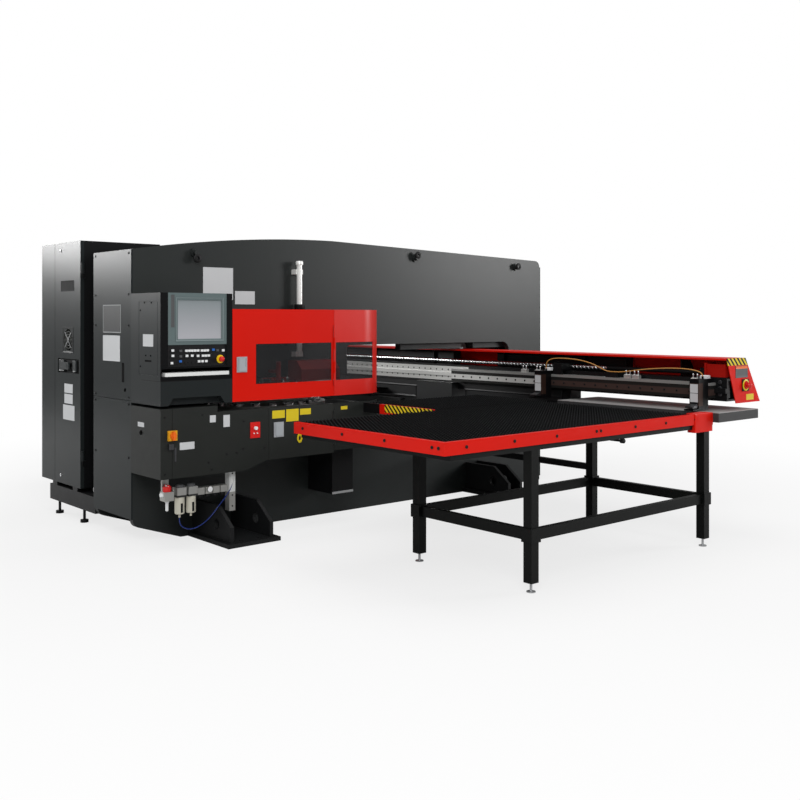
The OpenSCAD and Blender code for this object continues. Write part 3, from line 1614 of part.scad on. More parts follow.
// Front band of a moving table, notched over the ledge that it slides on
module moving_band(y0) {
    z0 = bed_under_z;
    block([moving_inner, y0, table_z - band_h],
        [table_inner - ledge_w - beam_w / 2 - seam, y0 + band_t, table_z]);
    block([moving_inner, y0, z0], [moving_outer, y0 + band_t, table_z]);
    block([moving_inner, y0, table_z - band_t], [moving_outer, y0 + band_flange, table_z]);
    block([moving_inner, y0, z0], [moving_outer, y0 + band_flange + gap, z0 + bed_plate_t]);
}

module moving_bands() {
    color("red") {
        moving_band(moving_y0);
        mirror([1, 0, 0]) moving_band(moving_far_y0);
    }
}

bar_x1 = table_end - bar_over;
bar_x0 = beam_x0 + x_travel + bar_clear;

// Slide bar on the beam's guide, with the arm that holds the screw's nut
module slide_bar() {
    x = bar_x0 + nut_run;
    color("gray") difference() {
        union() {
            block([bar_x0, bar_y0, bar_z0], [bar_x1, bar_y0 + bar_w + rail_gap_w - gap, bar_z0 + bar_h]);
            block([x, bar_y0, bar_z0], [x + nut_w, bar_y0 + nut_arm_t, beam_z1 + nut_h]);
            block([x, bar_y0, beam_z1 + nut_clear], [x + nut_w, screw_y + nut_h / 2, beam_z1 + nut_h]);
            block([bar_x0 + valve_run_x, bar_y0, bar_z0 + bar_h],
                [bar_x0 + valve_run_x + valve_l, bar_y0 + bar_w / 2, bar_z0 + bar_h + valve_top]);
        }
        block([bar_x0 - over, bar_y0 + bar_w, bar_z0 + bar_h / 2 - guide_h / 2 - gap],
            [bar_x1 + over, beam_y0, bar_z0 + bar_h / 2 + guide_h / 2 + gap]);
        x_bar([x - over, screw_y, screw_z], screw_r + run_gap, nut_w + over * 2);
    }
}

jaw_z0 = table_z + brush_rise + jaw_clear;
jaw_pivot_y = jaw_y0 + jaw_pivot_run;
jaw_pivot_z = jaw_z0 + jaw_t + jaw_gap + jaw_pivot_up;

// Clamp body: two cheeks round the bar, a lower jaw and a pivot pin
module clamp(x) {
    cheek_y1 = bar_y0 - gap;
    block([x - clamp_w / 2, jaw_y0, jaw_z0], [x + clamp_w / 2, cheek_y1, jaw_z0 + jaw_t]);
    for (x0 = [x - clamp_w / 2, x + clamp_w / 2 - clamp_cheek])
        block([x0, clamp_y0, jaw_z0], [x0 + clamp_cheek, cheek_y1, clamp_top_z]);
    block([x - clamp_w / 2, clamp_y0 + clamp_wall * 3, jaw_z0], [x + clamp_w / 2, bar_y0, clamp_top_z]);
    block([x - clamp_w / 2, clamp_y0 + clamp_wall * 3, bar_z0 + bar_h],
        [x + clamp_w / 2, bar_y0 + bar_w, clamp_top_z]);
    block([x - clamp_w / 2, clamp_y0, jaw_pivot_z + jaw_h],
        [x + clamp_w / 2, clamp_y0 + clamp_wall * 3, clamp_top_z]);
    x_bar([x - clamp_w / 2, jaw_pivot_y, jaw_pivot_z], jaw_pivot_r, clamp_w);
    z_bar([x + hose_fit_off, jaw_y0 + hose_fit_in, clamp_top_z], hose_fit_r, hose_fit_h);
}

module clamp_bodies() {
    color("silver") for (run = clamp_runs) clamp(bar_x1 - run);
}

// Upper jaw that rocks on the clamp's pin
module clamp_jaw(x) {
    z0 = jaw_z0 + jaw_t + jaw_gap;
    w = clamp_w - clamp_cheek * 2 - gap * 2;
    difference() {
        union() {
            yz_plate(x - w / 2, w) polygon([[jaw_y0, z0], [jaw_pivot_y, z0], [jaw_pivot_y, jaw_pivot_z],
                [jaw_y0 + jaw_h, z0 + jaw_h / 2],
                [jaw_y0, z0 + jaw_h / 3]]);
            x_bar([x - w / 2, jaw_pivot_y, jaw_pivot_z], jaw_pivot_r * 2, w);
        }
        x_bar([x - clamp_w, jaw_pivot_y, jaw_pivot_z], jaw_pivot_r + run_gap, clamp_w * 2);
    }
}

module clamp_jaw_inner() {
    color("dimgray") clamp_jaw(bar_x1 - clamp_runs[0]);
}

module clamp_jaw_outer() {
    color("dimgray") clamp_jaw(bar_x1 - clamp_runs[1]);
}

side_plates();
bed_weldment();
arm_weldment();
end_covers();
foot_brackets();
ram_cylinder();
air_column();
index_drive();
slug_chute();
console_housing();
monitor_bezel();
monitor_screen();
key_panel();
keyboard_drawer();
console_estop();
guard_panels();
guard_window();
turret_door();
turret_door_window();
turret_door_latch();
lower_cover_box();
lower_cover_mid();
lower_side_covers();
lower_door();
lower_door_latch();
isolator_base();
isolator_handle();
pedal_plate();
air_unit();
filter_bowls();
lockout_knob();
drain_tube();
cabinet_shell();
cabinet_base();
cabinet_door();
cabinet_fan();
cabinet_handle();
table_bands();
brush_beds();
table_frames();
rear_tables();
upper_turret();
punch_tools();
lower_turret();
die_tools();
ram_rod();
saddle();
carriage_beam();
carriage_cover();
end_panels();
screw_motor();
moving_tables();
moving_bands();
carriage_estop();
x_screw();
slide_bar();
clamp_bodies();
clamp_jaw_inner();
clamp_jaw_outer();
clamp_hose();
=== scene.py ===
"""Turret punch press: finishes, small fittings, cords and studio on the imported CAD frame."""

from __future__ import annotations

import json
import logging
import math
from collections.abc import Callable, Iterable, Sequence
from dataclasses import dataclass, replace
from enum import Enum

import bmesh
import bpy
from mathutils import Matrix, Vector

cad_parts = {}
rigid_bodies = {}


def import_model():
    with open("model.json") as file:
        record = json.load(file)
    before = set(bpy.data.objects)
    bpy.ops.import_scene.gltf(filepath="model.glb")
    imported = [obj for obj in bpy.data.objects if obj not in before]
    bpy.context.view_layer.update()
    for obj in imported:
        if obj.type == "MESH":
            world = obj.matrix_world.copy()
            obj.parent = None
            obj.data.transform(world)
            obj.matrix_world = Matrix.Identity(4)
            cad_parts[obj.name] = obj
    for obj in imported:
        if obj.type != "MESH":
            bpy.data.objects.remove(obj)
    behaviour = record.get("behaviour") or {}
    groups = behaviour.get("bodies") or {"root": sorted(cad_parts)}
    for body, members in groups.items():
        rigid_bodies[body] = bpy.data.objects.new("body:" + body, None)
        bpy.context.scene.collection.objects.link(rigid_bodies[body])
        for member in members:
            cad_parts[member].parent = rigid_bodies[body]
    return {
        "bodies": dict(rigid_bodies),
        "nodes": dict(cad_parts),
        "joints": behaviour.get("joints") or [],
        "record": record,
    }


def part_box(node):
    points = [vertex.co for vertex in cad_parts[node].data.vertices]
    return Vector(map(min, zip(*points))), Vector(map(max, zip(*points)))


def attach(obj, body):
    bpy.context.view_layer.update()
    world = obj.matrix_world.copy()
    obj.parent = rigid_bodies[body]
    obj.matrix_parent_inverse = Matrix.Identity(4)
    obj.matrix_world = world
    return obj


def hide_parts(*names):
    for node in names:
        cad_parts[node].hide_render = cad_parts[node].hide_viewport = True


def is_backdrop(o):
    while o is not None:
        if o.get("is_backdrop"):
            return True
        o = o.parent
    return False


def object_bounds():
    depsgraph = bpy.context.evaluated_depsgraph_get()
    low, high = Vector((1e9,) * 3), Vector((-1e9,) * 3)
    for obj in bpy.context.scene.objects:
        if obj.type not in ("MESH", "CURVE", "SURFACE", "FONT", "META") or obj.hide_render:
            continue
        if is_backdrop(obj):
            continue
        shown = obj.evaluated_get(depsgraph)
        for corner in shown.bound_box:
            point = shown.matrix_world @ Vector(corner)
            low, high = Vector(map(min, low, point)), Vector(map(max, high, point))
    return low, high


LOG = logging.getLogger("punch_press")

Piece = bpy.types.Object
Socket = bpy.types.NodeSocket
Point = tuple[float, float, float]
Colour = tuple[float, float, float]
Span = tuple[float | None, float | None]
Pair = tuple[float, float]
Row = tuple[float, ...]
Spots = tuple[Pair, ...]
Rect = tuple[float, float, float, float]
Profile = Sequence[Pair]

ORIGIN: Point = (0.0, 0.0, 0.0)
EVEN: Point = (1.0, 1.0, 1.0)
ALONG_X: Point = (0.03, 1.0, 1.0)
OPEN: Span = (None, None)
SEAT = 0.001  # how deep a plate is let into its face
QUARTER = math.pi / 2
MM = 1000.0  # millimetres in a metre
SMOOTH_ANGLE, BEND_ANGLE = math.radians(35), math.radians(40)
WELD, NEAR = 1e-6, 1e-5
EDGE_BEVEL = 0.0008
LEVEL = 0.99  # cosine from which a face counts as facing a direction

CHARCOAL: Colour = (0.0165, 0.0192, 0.0188)
LIGHT_CHARCOAL: Colour = (0.0150, 0.0182, 0.0187)
BLACK: Colour = (0.0045, 0.0047, 0.0052)
GAP: Colour = (0.0012, 0.0012, 0.0013)
RED: Colour = (0.62, 0.0085, 0.0030)
KNOB_RED: Colour = (0.60, 0.012, 0.010)
WHITE: Colour = (0.78, 0.79, 0.80)
SILVER: Colour = (0.62, 0.63, 0.64)
ALLOY: Colour = (0.62, 0.62, 0.60)
STEEL: Colour = (0.70, 0.71, 0.72)
YELLOW: Colour = (0.82, 0.55, 0.015)
PURE_WHITE = (1.0, 1.0, 1.0, 1.0)

NOISE_ROUGH = 0.55
DRIFT_DETAIL = 4.0
SMUDGE_SCALE, SMUDGE_DETAIL = 9.0, 5.0
GRAIN_DETAIL, GRAIN_HEIGHT = 2.0, 0.0006
COAT_ROUGH = 0.12
MIX_FIRST, MIX_SECOND, MIX_RESULT = 6, 7, 2  # colour sockets of the Mix node


class Axis(Enum):
    """Direction that a turned piece or a plate faces, as the turn that brings +Z there."""

    UP = (0.0, 0.0, 0.0)
    RIGHT = (0.0, QUARTER, 0.0)
    FRONT = (QUARTER, 0.0, 0.0)

    @property
    def normal(self) -> Vector:
        """Unit vector of this direction."""
        return Vector({"UP": (0, 0, 1), "RIGHT": (1, 0, 0), "FRONT": (0, -1, 0)}[self.name])


UP, RIGHT, FRONT = Axis


def add_node(tree: bpy.types.NodeTree, kind: str, sockets: dict[str | int, object],
             output: str | int | None = None, **settings: object) -> Socket | None:
    """Add a shader node.

    Args:
        tree: Node tree of a material or of the surround.
        kind: Blender's name of the node type.
        sockets: Value or linked socket of each input, by name or number.
        output: The output to return; by default the first one in use.
        settings: Properties that are set before the inputs.

    Returns:
        The chosen output, or None where the node has none.
    """
    made = tree.nodes.new(kind)
    for key, value in settings.items():
        setattr(made, key, value)
    for key, value in sockets.items():
        if isinstance(value, Socket):
            tree.links.new(value, made.inputs[key])
        else:
            made.inputs[key].default_value = value
    return made.outputs[output] if output is not None else next((o for o in made.outputs if o.enabled), None)


def math_operator(operation: str, swapped: bool = False) -> Callable[[Wire, Wire | float], Wire]:
    """Make an operator of Wire that adds a Math node."""

    def method(self: Wire, other: Wire | float) -> Wire:
        """Apply the operation to both values."""
        return self.graph.math(operation, *((other, self) if swapped else (self, other)))

    return method


class Wire:
    """A value in a shader graph; Python's operators on it add Math nodes."""

    __add__ = math_operator("ADD")
    __sub__ = math_operator("SUBTRACT")
    __rsub__ = math_operator("SUBTRACT", swapped=True)
    __mul__ = __rmul__ = math_operator("MULTIPLY")
    __gt__ = math_operator("GREATER_THAN")
    __lt__ = math_operator("LESS_THAN")

    def __init__(self, graph: Graph, socket: Socket) -> None:
        """Wrap one output socket of a graph."""
        self.graph = graph
        self.socket = socket

    def between(self, low: float | None, high: float | None) -> Wire | float:
        """One inside a range and zero outside it; None leaves a bound open."""
        mask: Wire | float = 1.0
        if low is not None:
            mask = mask * (self > low)
        if high is not None:
            mask = mask * (self < high)
        return mask


class Graph:
    """Shader graph of one material, with its Principled shader."""

    def __init__(self, name: str) -> None:
        """Start a material with a bare Principled shader."""
        self.material = bpy.data.materials.new(name)
        self.material.use_nodes = True
        self.tree = self.material.node_tree
        self.shader = next(n for n in self.tree.nodes if n.type == "BSDF_PRINCIPLED")
        self.place = self.node("ShaderNodeTexCoord", {}, "Object")
        self.axes = [self.node("ShaderNodeSeparateXYZ", {0: self.place}, axis) for axis in "XYZ"]
        self.x, self.y, self.z = self.axes

    def node(self, kind: str, sockets: dict[str | int, object], output: str | int | None = None,
             **settings: object) -> Wire:
        """Add any node, with Wires or values on its inputs, and return one output."""
        plain = {key: value.socket if isinstance(value, Wire) else value for key, value in sockets.items()}
        return Wire(self, add_node(self.tree, kind, plain, output, **settings))

    def math(self, operation: str, *values: Wire | float) -> Wire:
        """Add a Math node on the given values."""
        return self.node("ShaderNodeMath", dict(enumerate(values)), operation=operation)

    def noise(self, scale: float, detail: float, stretch: Point) -> Wire:
        """Noise on the object's own coordinates, drawn out along an axis by a small scale there."""
        place = self.node("ShaderNodeMapping", {"Vector": self.place, "Scale": stretch})
        return self.node("ShaderNodeTexNoise", {"Vector": place, "Scale": scale, "Detail": detail,
                                                "Roughness": NOISE_ROUGH}, "Fac")

    def mix(self, share: Wire | float, first: Wire | Colour, second: Wire | Colour) -> Wire:
        """Colour that goes from the first to the second by a share."""
        first, second = (c if isinstance(c, Wire) else (*c, 1.0) for c in (first, second))
        return self.node("ShaderNodeMix", {0: share, MIX_FIRST: first, MIX_SECOND: second}, MIX_RESULT,
                         data_type="RGBA")

    def feed(self, socket: str, value: Wire | float) -> None:
        """Link or set an input of the Principled shader."""
        if isinstance(value, Wire):
            self.tree.links.new(value.socket, self.shader.inputs[socket])
        else:
            self.shader.inputs[socket].default_value = value


@dataclass(frozen=True)
class Zone:
    """Part of a node, between bounds, in a disc or on a row of dots, with a finish of its own."""

    colour: Colour
    rough: float = 0.45
    metal: float = 0.0
    x: Span = OPEN
    y: Span = OPEN
    z: Span = OPEN
    disc: tuple[str, float, float, float] | None = None
    dots: tuple[float, float, float] | None = None
    stripes: float = 0.0

    def mask(self, graph: Graph) -> Wire | float:
        """One inside the zone and zero outside it."""
        mask: Wire | float = 1.0
        for wire, span in zip(graph.axes, (self.x, self.y, self.z)):
            mask = wire.between(*span) * mask
        if self.disc:
            plane, first, second, radius = self.disc
            across = [graph.axes["xyz".index(axis)] for axis in plane]
            sides = [(wire - at) * (wire - at) for wire, at in zip(across, (first, second))]
            mask = (sides[0] + sides[1] < radius * radius) * mask
        if self.dots:
            pitch, row, radius = self.dots
            along = (graph.math("FRACT", graph.x * (1.0 / pitch)) - 0.5) * pitch
            mask = (along * along + (graph.z - row) * (graph.z - row) < radius * radius) * mask
        return mask

    def paint(self, graph: Graph) -> Wire | Colour:
        """Colour of the zone, with slanting black stripes where it has them."""
        if not self.stripes:
            return self.colour
        slant = (graph.x + graph.y + graph.z) * (2.0 * math.pi / self.stripes)
        return graph.mix(graph.math("SINE", slant) > 0.0, self.colour, BLACK)


@dataclass(frozen=True)
class Finish:
    """Look of one kind of surface: colour drift, sheen, grain and the zones that differ."""

    name: str
    colour: Colour
    rough: float = 0.4
    metal: float = 0.0
    drift: float = 0.12
    drift_scale: float = 2.2
    grain: float = 0.06
    grain_scale: float = 700.0
    smudge: float = 0.08
    coat: float = 0.0
    specular: float = 0.22
    stretch: Point = EVEN
    zones: tuple[Zone, ...] = ()

    def material(self) -> bpy.types.Material:
        """Build a new material whose graph reads Object coordinates."""
        graph = Graph(self.name)
        cloud = graph.noise(self.drift_scale, DRIFT_DETAIL, self.stretch)
        dark, light = (tuple(min(1.0, c * (1.0 + s * self.drift)) for c in self.colour) for s in (-1, 1))
        colour = graph.mix(cloud, dark, light)
        smear = graph.noise(SMUDGE_SCALE, SMUDGE_DETAIL, self.stretch) - 0.5
        rough = smear * (2.0 * self.smudge) + self.rough
        metal: Wire | float = self.metal
        for zone in self.zones:
            mask = zone.mask(graph)
            colour = graph.mix(mask, colour, zone.paint(graph))
            rough = (zone.rough - rough) * mask + rough
            if zone.metal != self.metal:
                metal = mask * (zone.metal - metal) + metal
        grain = {"Height": graph.noise(self.grain_scale, GRAIN_DETAIL, self.stretch),
                 "Strength": self.grain, "Distance": GRAIN_HEIGHT}
        feeds = {"Base Color": self.colour_over(graph, colour), "Roughness": rough, "Metallic": metal,
                 "Coat Weight": self.coat, "Coat Roughness": COAT_ROUGH, "Specular IOR Level": self.specular,
                 "Normal": graph.node("ShaderNodeBump", grain)}
        for socket, value in feeds.items():
            graph.feed(socket, value)
        return graph.material

    def colour_over(self, graph: Graph, colour: Wire) -> Wire:
        """Last change of the colour; plain finishes make none."""
        return colour


@dataclass(frozen=True)
class Bristle(Finish):
    """Brush filaments: black, with fine tips painted lighter as a painted highlight."""

    tip_z: float = 0.957
    tip_h: float = 0.009
    # colour of the painted highlight on the filament tips
    lit_tip: Colour = (0.026, 0.027, 0.028)

    def colour_over(self, graph: Graph, colour: Wire) -> Wire:
        """Filament tips painted lighter above the ridge: a painted highlight."""
        rise = (graph.z - self.tip_z) * (1.0 / self.tip_h)
        return graph.mix(rise * rise * (graph.z > self.tip_z), colour, self.lit_tip)


@dataclass(frozen=True)
class Pane(Finish):
    """Tinted window sheet that lets part of the light through."""

    clear: float = 0.5

    def material(self) -> bpy.types.Material:
        """Build the material with a constant share of see-through."""
        made = super().material()
        shader = next(n for n in made.node_tree.nodes if n.type == "BSDF_PRINCIPLED")
        shader.inputs["Alpha"].default_value = 1.0 - self.clear
        made.surface_render_method = "BLENDED"
        return made


@dataclass(frozen=True)
class Display(Finish):
    """Switched-off screen: a soft pale gradient under gloss, which is a painted reflection."""

    low_z: float = 1.49
    high_z: float = 1.77
    # colours of the painted reflection at the top and at the bottom of the screen
    upper: Colour = (0.22, 0.25, 0.26)
    lower: Colour = (0.40, 0.40, 0.43)

    def colour_over(self, graph: Graph, colour: Wire) -> Wire:
        """Painted reflection: lighter and warmer towards the lower edge."""
        share = (self.high_z - graph.z) * (1.0 / (self.high_z - self.low_z))
        return graph.mix(share, self.upper, self.lower)


def begin() -> None:
    """Deselect everything, so that an operator acts on the new piece alone."""
    bpy.ops.object.select_all(action="DESELECT")


def focus(piece: Piece) -> None:
    """Make a piece the active one and the only one selected."""
    begin()
    piece.select_set(True)
    bpy.context.view_layer.objects.active = piece


def settle(piece: Piece) -> Piece:
    """Put a piece's place, turn and scale into its mesh."""
    focus(piece)
    bpy.ops.object.transform_apply(location=True, rotation=True, scale=True)
    return piece


def newest(name: str) -> Piece:
    """Name and settle the piece that an operator has just added."""
    piece = bpy.context.active_object
    piece.name = name
    return settle(piece)


def edit(piece: Piece) -> None:
    """Open a piece in edit mode with all of it selected."""
    bpy.context.view_layer.objects.active = piece
    bpy.ops.object.mode_set(mode="EDIT")
    bpy.ops.mesh.select_all(action="SELECT")


def close() -> None:
    """Leave edit mode with the normals outwards."""
    bpy.ops.mesh.select_all(action="SELECT")
    bpy.ops.mesh.normals_make_consistent(inside=False)
    bpy.ops.object.mode_set(mode="OBJECT")


def pick(piece: Piece, test: Callable[[Vector, Vector], bool]) -> None:
    """Select the faces whose middle and normal pass a test; edit mode stays open."""
    edit(piece)
    bpy.ops.mesh.select_mode(type="FACE")
    bpy.ops.mesh.select_all(action="DESELECT")
    mesh = bmesh.from_edit_mesh(piece.data)
    for face in mesh.faces:
        face.select_set(test(face.calc_center_median(), face.normal))
    bmesh.update_edit_mesh(piece.data)


def pierce(piece: Piece, test: Callable[[Vector, Vector], bool]) -> None:
    """Delete the faces whose middle and normal pass a test."""
    pick(piece, test)
    bpy.ops.mesh.delete(type="FACE")
    close()


def block(name: str, low: Point, high: Point, bevel: float, segments: int = 2) -> Piece:
    """Box between two corners with bevelled edges."""
    begin()
    bpy.ops.mesh.primitive_cube_add(size=1.0, location=[(a + b) / 2 for a, b in zip(low, high)])
    bpy.context.active_object.scale = [b - a for a, b in zip(low, high)]
    piece = newest(name)
    edit(piece)
    bpy.ops.mesh.bevel(offset=bevel, offset_type="OFFSET", segments=segments, affect="EDGES",
                       clamp_overlap=True)
    close()
    return piece


def tablet(name: str, low: Point, high: Point, facing: Axis, rim: float, sink: float) -> Piece:
    """Bevelled plate whose face is inset by a rim and sunk or raised.

    Args:
        name: Name of the piece.
        low: Lowest corner.
        high: Highest corner.
        facing: Direction of the worked face.
        rim: Width of the rim left round the face.
        sink: Depth of the face below the rim; negative raises it.

    Returns:
        The new piece.
    """
    piece = block(name, low, high, min(EDGE_BEVEL, rim / 3))
    normal = facing.normal
    edge = max(Vector(low).dot(normal), Vector(high).dot(normal))
    pick(piece, lambda middle, n: n.dot(normal) > LEVEL and middle.dot(normal) > edge - NEAR)
    bpy.ops.mesh.inset(thickness=rim, depth=-sink)
    close()
    return piece


def plates(name: str, facing: Axis, at: float, proud: float, rim: float, sink: float, *rects: Rect) -> Piece:
    """Thin tablets on one face, joined into a piece.

    Args:
        name: Name of the piece.
        facing: Direction of the face, FRONT or RIGHT.
        at: Place of the face along its own axis.
        proud: Height of the plates over the face.
        rim: Width of the rim left round each plate's middle.
        sink: Depth of the middle below the rim.
        rects: Two corners of each plate: along the face and in height, low before high.

    Returns:
        The new piece.
    """
    made = []
    for u0, z0, u1, z1 in rects:
        low, high = (((u0, at - proud, z0), (u1, at + SEAT, z1)) if facing is FRONT
                     else ((at - SEAT, u0, z0), (at + proud, u1, z1)))
        made.append(tablet(name, low, high, facing, rim, sink))
    return join(made)


def circle(name: str, sides: int, radius: float, at: Point, turn: Point = ORIGIN,
           filled: bool = True) -> Piece:
    """Round face, or a bare ring of edges, to draw a piece from."""
    begin()
    bpy.ops.mesh.primitive_circle_add(vertices=sides, radius=radius, location=at, rotation=turn,
                                      fill_type="NGON" if filled else "NOTHING")
    return newest(name)


def turned(name: str, profile: Profile, facing: Axis, at: Point = ORIGIN, sides: int = 32,
           ring: bool = False) -> Piece:
    """Round piece drawn out of a circle, step by step along its axis.

    Args:
        name: Name of the piece.
        profile: Radius and height of each step in millimetres; a ring's comes back to its start.
        facing: Direction of the axis.
        at: Place of the axis' foot.
        sides: Sides of the circle.
        ring: True where the profile closes on itself instead of having end caps.

    Returns:
        The new piece.
    """
    steps = [(radius / MM, height / MM) for radius, height in profile]
    piece = circle(name, sides, steps[0][0], (0.0, 0.0, steps[0][1]), filled=not ring)
    edit(piece)
    bpy.ops.mesh.select_mode(type="EDGE")
    for (r0, h0), (r1, h1) in zip(steps, steps[1:]):
        bpy.ops.mesh.extrude_region_move(TRANSFORM_OT_translate={"value": (0, 0, h1 - h0)})
        bpy.ops.transform.resize(value=(r1 / r0, r1 / r0, 1.0), center_override=(0, 0, h1))
    bpy.ops.mesh.select_all(action="SELECT")
    bpy.ops.mesh.remove_doubles(threshold=WELD)
    close()
    piece.rotation_euler = facing.value
    piece.location = at
    settle(piece)
    bpy.ops.object.shade_smooth_by_angle(angle=SMOOTH_ANGLE)
    return piece


def array(piece: Piece, count: int, step: Point) -> None:
    """Repeat a piece in a row with an applied Array modifier."""
    focus(piece)
    row = piece.modifiers.new("row", "ARRAY")
    row.count = count
    row.use_relative_offset = False
    row.use_constant_offset = True
    row.constant_offset_displace = step
    bpy.ops.object.modifier_apply(modifier=row.name)


def join(pieces: Sequence[Piece]) -> Piece:
    """Join pieces of one finish into the first of them, with their places in the mesh."""
    begin()
    for piece in pieces:
        piece.select_set(True)
    bpy.context.view_layer.objects.active = pieces[0]
    bpy.ops.object.transform_apply(location=True, rotation=True, scale=True)
    if len(pieces) > 1:
        bpy.ops.object.join()
    return pieces[0]


def scatter(master: Piece, places: Iterable[Point]) -> Piece:
    """Copy a piece to several places, each with its own mesh, and join the copies under its name."""
    name = master.name
    copies = []
    for place in places:
        twin = master.copy()
        twin.data = master.data.copy()
        bpy.context.collection.objects.link(twin)
        twin.location = place
        copies.append(twin)
    bpy.data.objects.remove(master)
    made = join(copies)
    made.name = name
    return made


def screw_heads(name: str, places: Iterable[Point], facing: Axis, radius: float) -> Piece:
    """Socket-head screws of a radius in millimetres, each with a sunk middle, at places on a face."""
    shares = ((1.0, -0.3), (1.0, 0.35), (0.82, 0.5), (0.45, 0.5), (0.40, 0.1))
    return scatter(turned(name, [(radius * r, radius * h) for r, h in shares], facing, sides=12), places)


class Shop:
    """Holds the loaded frame and the materials, and puts finished pieces on the frame."""

    def __init__(self) -> None:
        """Load the frame and keep its box."""
        self.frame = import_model()
        self.cad_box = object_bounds()
        self.materials: dict[Finish, bpy.types.Material] = {}

    def dress(self, piece: Piece, finish: Finish) -> None:
        """Assign a finish, which is made once, to every material slot of a piece."""
        if finish not in self.materials:
            self.materials[finish] = finish.material()
        if not piece.material_slots:
            piece.data.materials.append(self.materials[finish])
        for slot in piece.material_slots:
            slot.material = self.materials[finish]

    def node(self, finish: Finish, *names: str) -> None:
        """Dress CAD nodes with a finish."""
        for name in names:
            self.dress(self.frame["nodes"][name], finish)

    def add(self, piece: Piece, finish: Finish, slot: str = "black_steel", body: str = "frame") -> None:
        """Dress a new piece, let it ride on a CAD body and log it."""
        self.dress(piece, finish)
        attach(piece, body)
        LOG.info("%s rides %s", piece.name, body)


@dataclass
class Cord:
    """A free hose or tube along the route of its CAD solid, in millimetres."""

    name: str
    node: str
    body: str
    slot: str
    finish: Finish
    route: list[Point]
    diameter: float = 0.008
    steps: int = 4

    def line(self) -> list[Vector]:
        """Smooth line through the route's points."""
        points = [Vector(p) / MM for p in self.route]
        ends = [points[0] * 2 - points[1], *points, points[-1] * 2 - points[-2]]
        line = []
        for a, b, c, d in zip(ends, ends[1:], ends[2:], ends[3:]):
            for i in range(self.steps):
                t = i / self.steps
                line.append(0.5 * (2 * b + (c - a) * t + (2 * a - 5 * b + 4 * c - d) * t ** 2
                                   + (3 * b - a - 3 * c + d) * t ** 3))
        return [*line, points[-1]]

    def build(self, shop: Shop) -> None:
        line = self.line()
        curve = bpy.data.curves.new(self.name, "CURVE")
        curve.dimensions = "3D"
        curve.bevel_depth = self.diameter / 2
        curve.bevel_resolution = 4
        spline = curve.splines.new("POLY")
        spline.points.add(len(line) - 1)
        for point, place in zip(spline.points, line):
            point.co = (*place, 1.0)
        spline.use_smooth = True
        piece = bpy.data.objects.new(self.name, curve)
        bpy.context.collection.objects.link(piece)
        shop.add(piece, self.finish, self.slot, self.body)
        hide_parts(self.node)
        length = sum((b - a).length for a, b in zip(line, line[1:]))
        tuple(line[0])


PAINT = Finish("frame_paint", CHARCOAL, 0.38, drift=0.07, drift_scale=0.8, grain=0.10, grain_scale=420.0,
               smudge=0.02, specular=0.28)
COVER_PAINT = Finish("cover_paint", LIGHT_CHARCOAL, 0.30, drift=0.08, drift_scale=1.3, grain=0.03,
                     grain_scale=420.0, smudge=0.01, specular=0.13)
CABINET_PAINT = Finish("cabinet_paint", LIGHT_CHARCOAL, 0.29, drift=0.08, drift_scale=0.9, grain=0.02,
                       smudge=0.01, specular=0.15)
DARK_PAINT = Finish("weldment_paint", (0.008, 0.0085, 0.009), 0.5, drift=0.2)
BLACK_PAINT = Finish("black_paint", BLACK, 0.42, drift=0.18, grain=0.08)
RED_PAINT = Finish("guard_paint", RED, 0.34, drift=0.05, grain=0.05, grain_scale=520.0, smudge=0.05,
                   specular=0.10)
BAND_PAINT = Finish("moving_band_paint", RED, 0.34, drift=0.05, specular=0.10)
GROUND_STEEL = Finish("ground_steel", (0.30, 0.30, 0.31), 0.34, 1.0, drift=0.2, drift_scale=40.0,
                      stretch=ALONG_X, smudge=0.12)
DARK_STEEL = Finish("dark_steel", (0.085, 0.085, 0.09), 0.33, 0.9, drift=0.25, drift_scale=30.0,
                    stretch=ALONG_X, smudge=0.1)
BRIGHT_STEEL = Finish("bright_steel", STEEL, 0.20, 1.0, drift=0.08, smudge=0.06)
SATIN_ALLOY = Finish("satin_alloy", ALLOY, 0.36, 0.7, drift=0.08, drift_scale=20.0)
COLUMN_ALLOY = Finish("column_alloy", (0.86, 0.86, 0.84), 0.34, 0.25, drift=0.05)
TURRET_STEEL = Finish("turret_steel", (0.30, 0.30, 0.29), 0.36, 0.95, drift=0.2, drift_scale=12.0)
BLACK_PLASTIC = Finish("black_plastic", (0.006, 0.006, 0.0065), 0.5, grain=0.15, grain_scale=1400.0)
WHITE_PLATE = Finish("pale_plate", (0.52, 0.53, 0.54), 0.42, drift=0.06, smudge=0.06)
GREY_PLATE = Finish("grey_plate", (0.075, 0.077, 0.08), 0.45, drift=0.08)
DULL_BLACK = Finish("dull_black", GAP, 0.7, specular=0.03)
YELLOW_PLATE = Finish("yellow_plate", (0.66, 0.50, 0.015), 0.42, drift=0.08)
ORANGE_PLATE = Finish("orange_plate", (0.74, 0.13, 0.01), 0.4, drift=0.08)
BLUE_PLASTIC = Finish("blue_plastic", (0.02, 0.12, 0.45), 0.4, drift=0.06)
WHITE_PLASTIC = Finish("white_plastic", (0.72, 0.73, 0.74), 0.4, drift=0.05)
# Latch blocks and handle: charcoal paint lighter than the door's, as a painted highlight.
LATCH_HIGHLIGHT_PAINT = Finish("latch_block_highlight_paint", (0.024, 0.0275, 0.0285), 0.36)
LATCH_GREY = Finish("latch_plastic", (0.36, 0.38, 0.40), 0.38, drift=0.06, grain=0.1, grain_scale=1200.0)
STOP_RED = Finish("stop_plastic", KNOB_RED, 0.25, drift=0.04, specular=0.4)
HOSE_BLUE = Finish("hose_blue", (0.008, 0.022, 0.15), 0.25, coat=0.3)
HOSE_AMBER = Finish("hose_amber", (0.52, 0.24, 0.06), 0.3, coat=0.2)
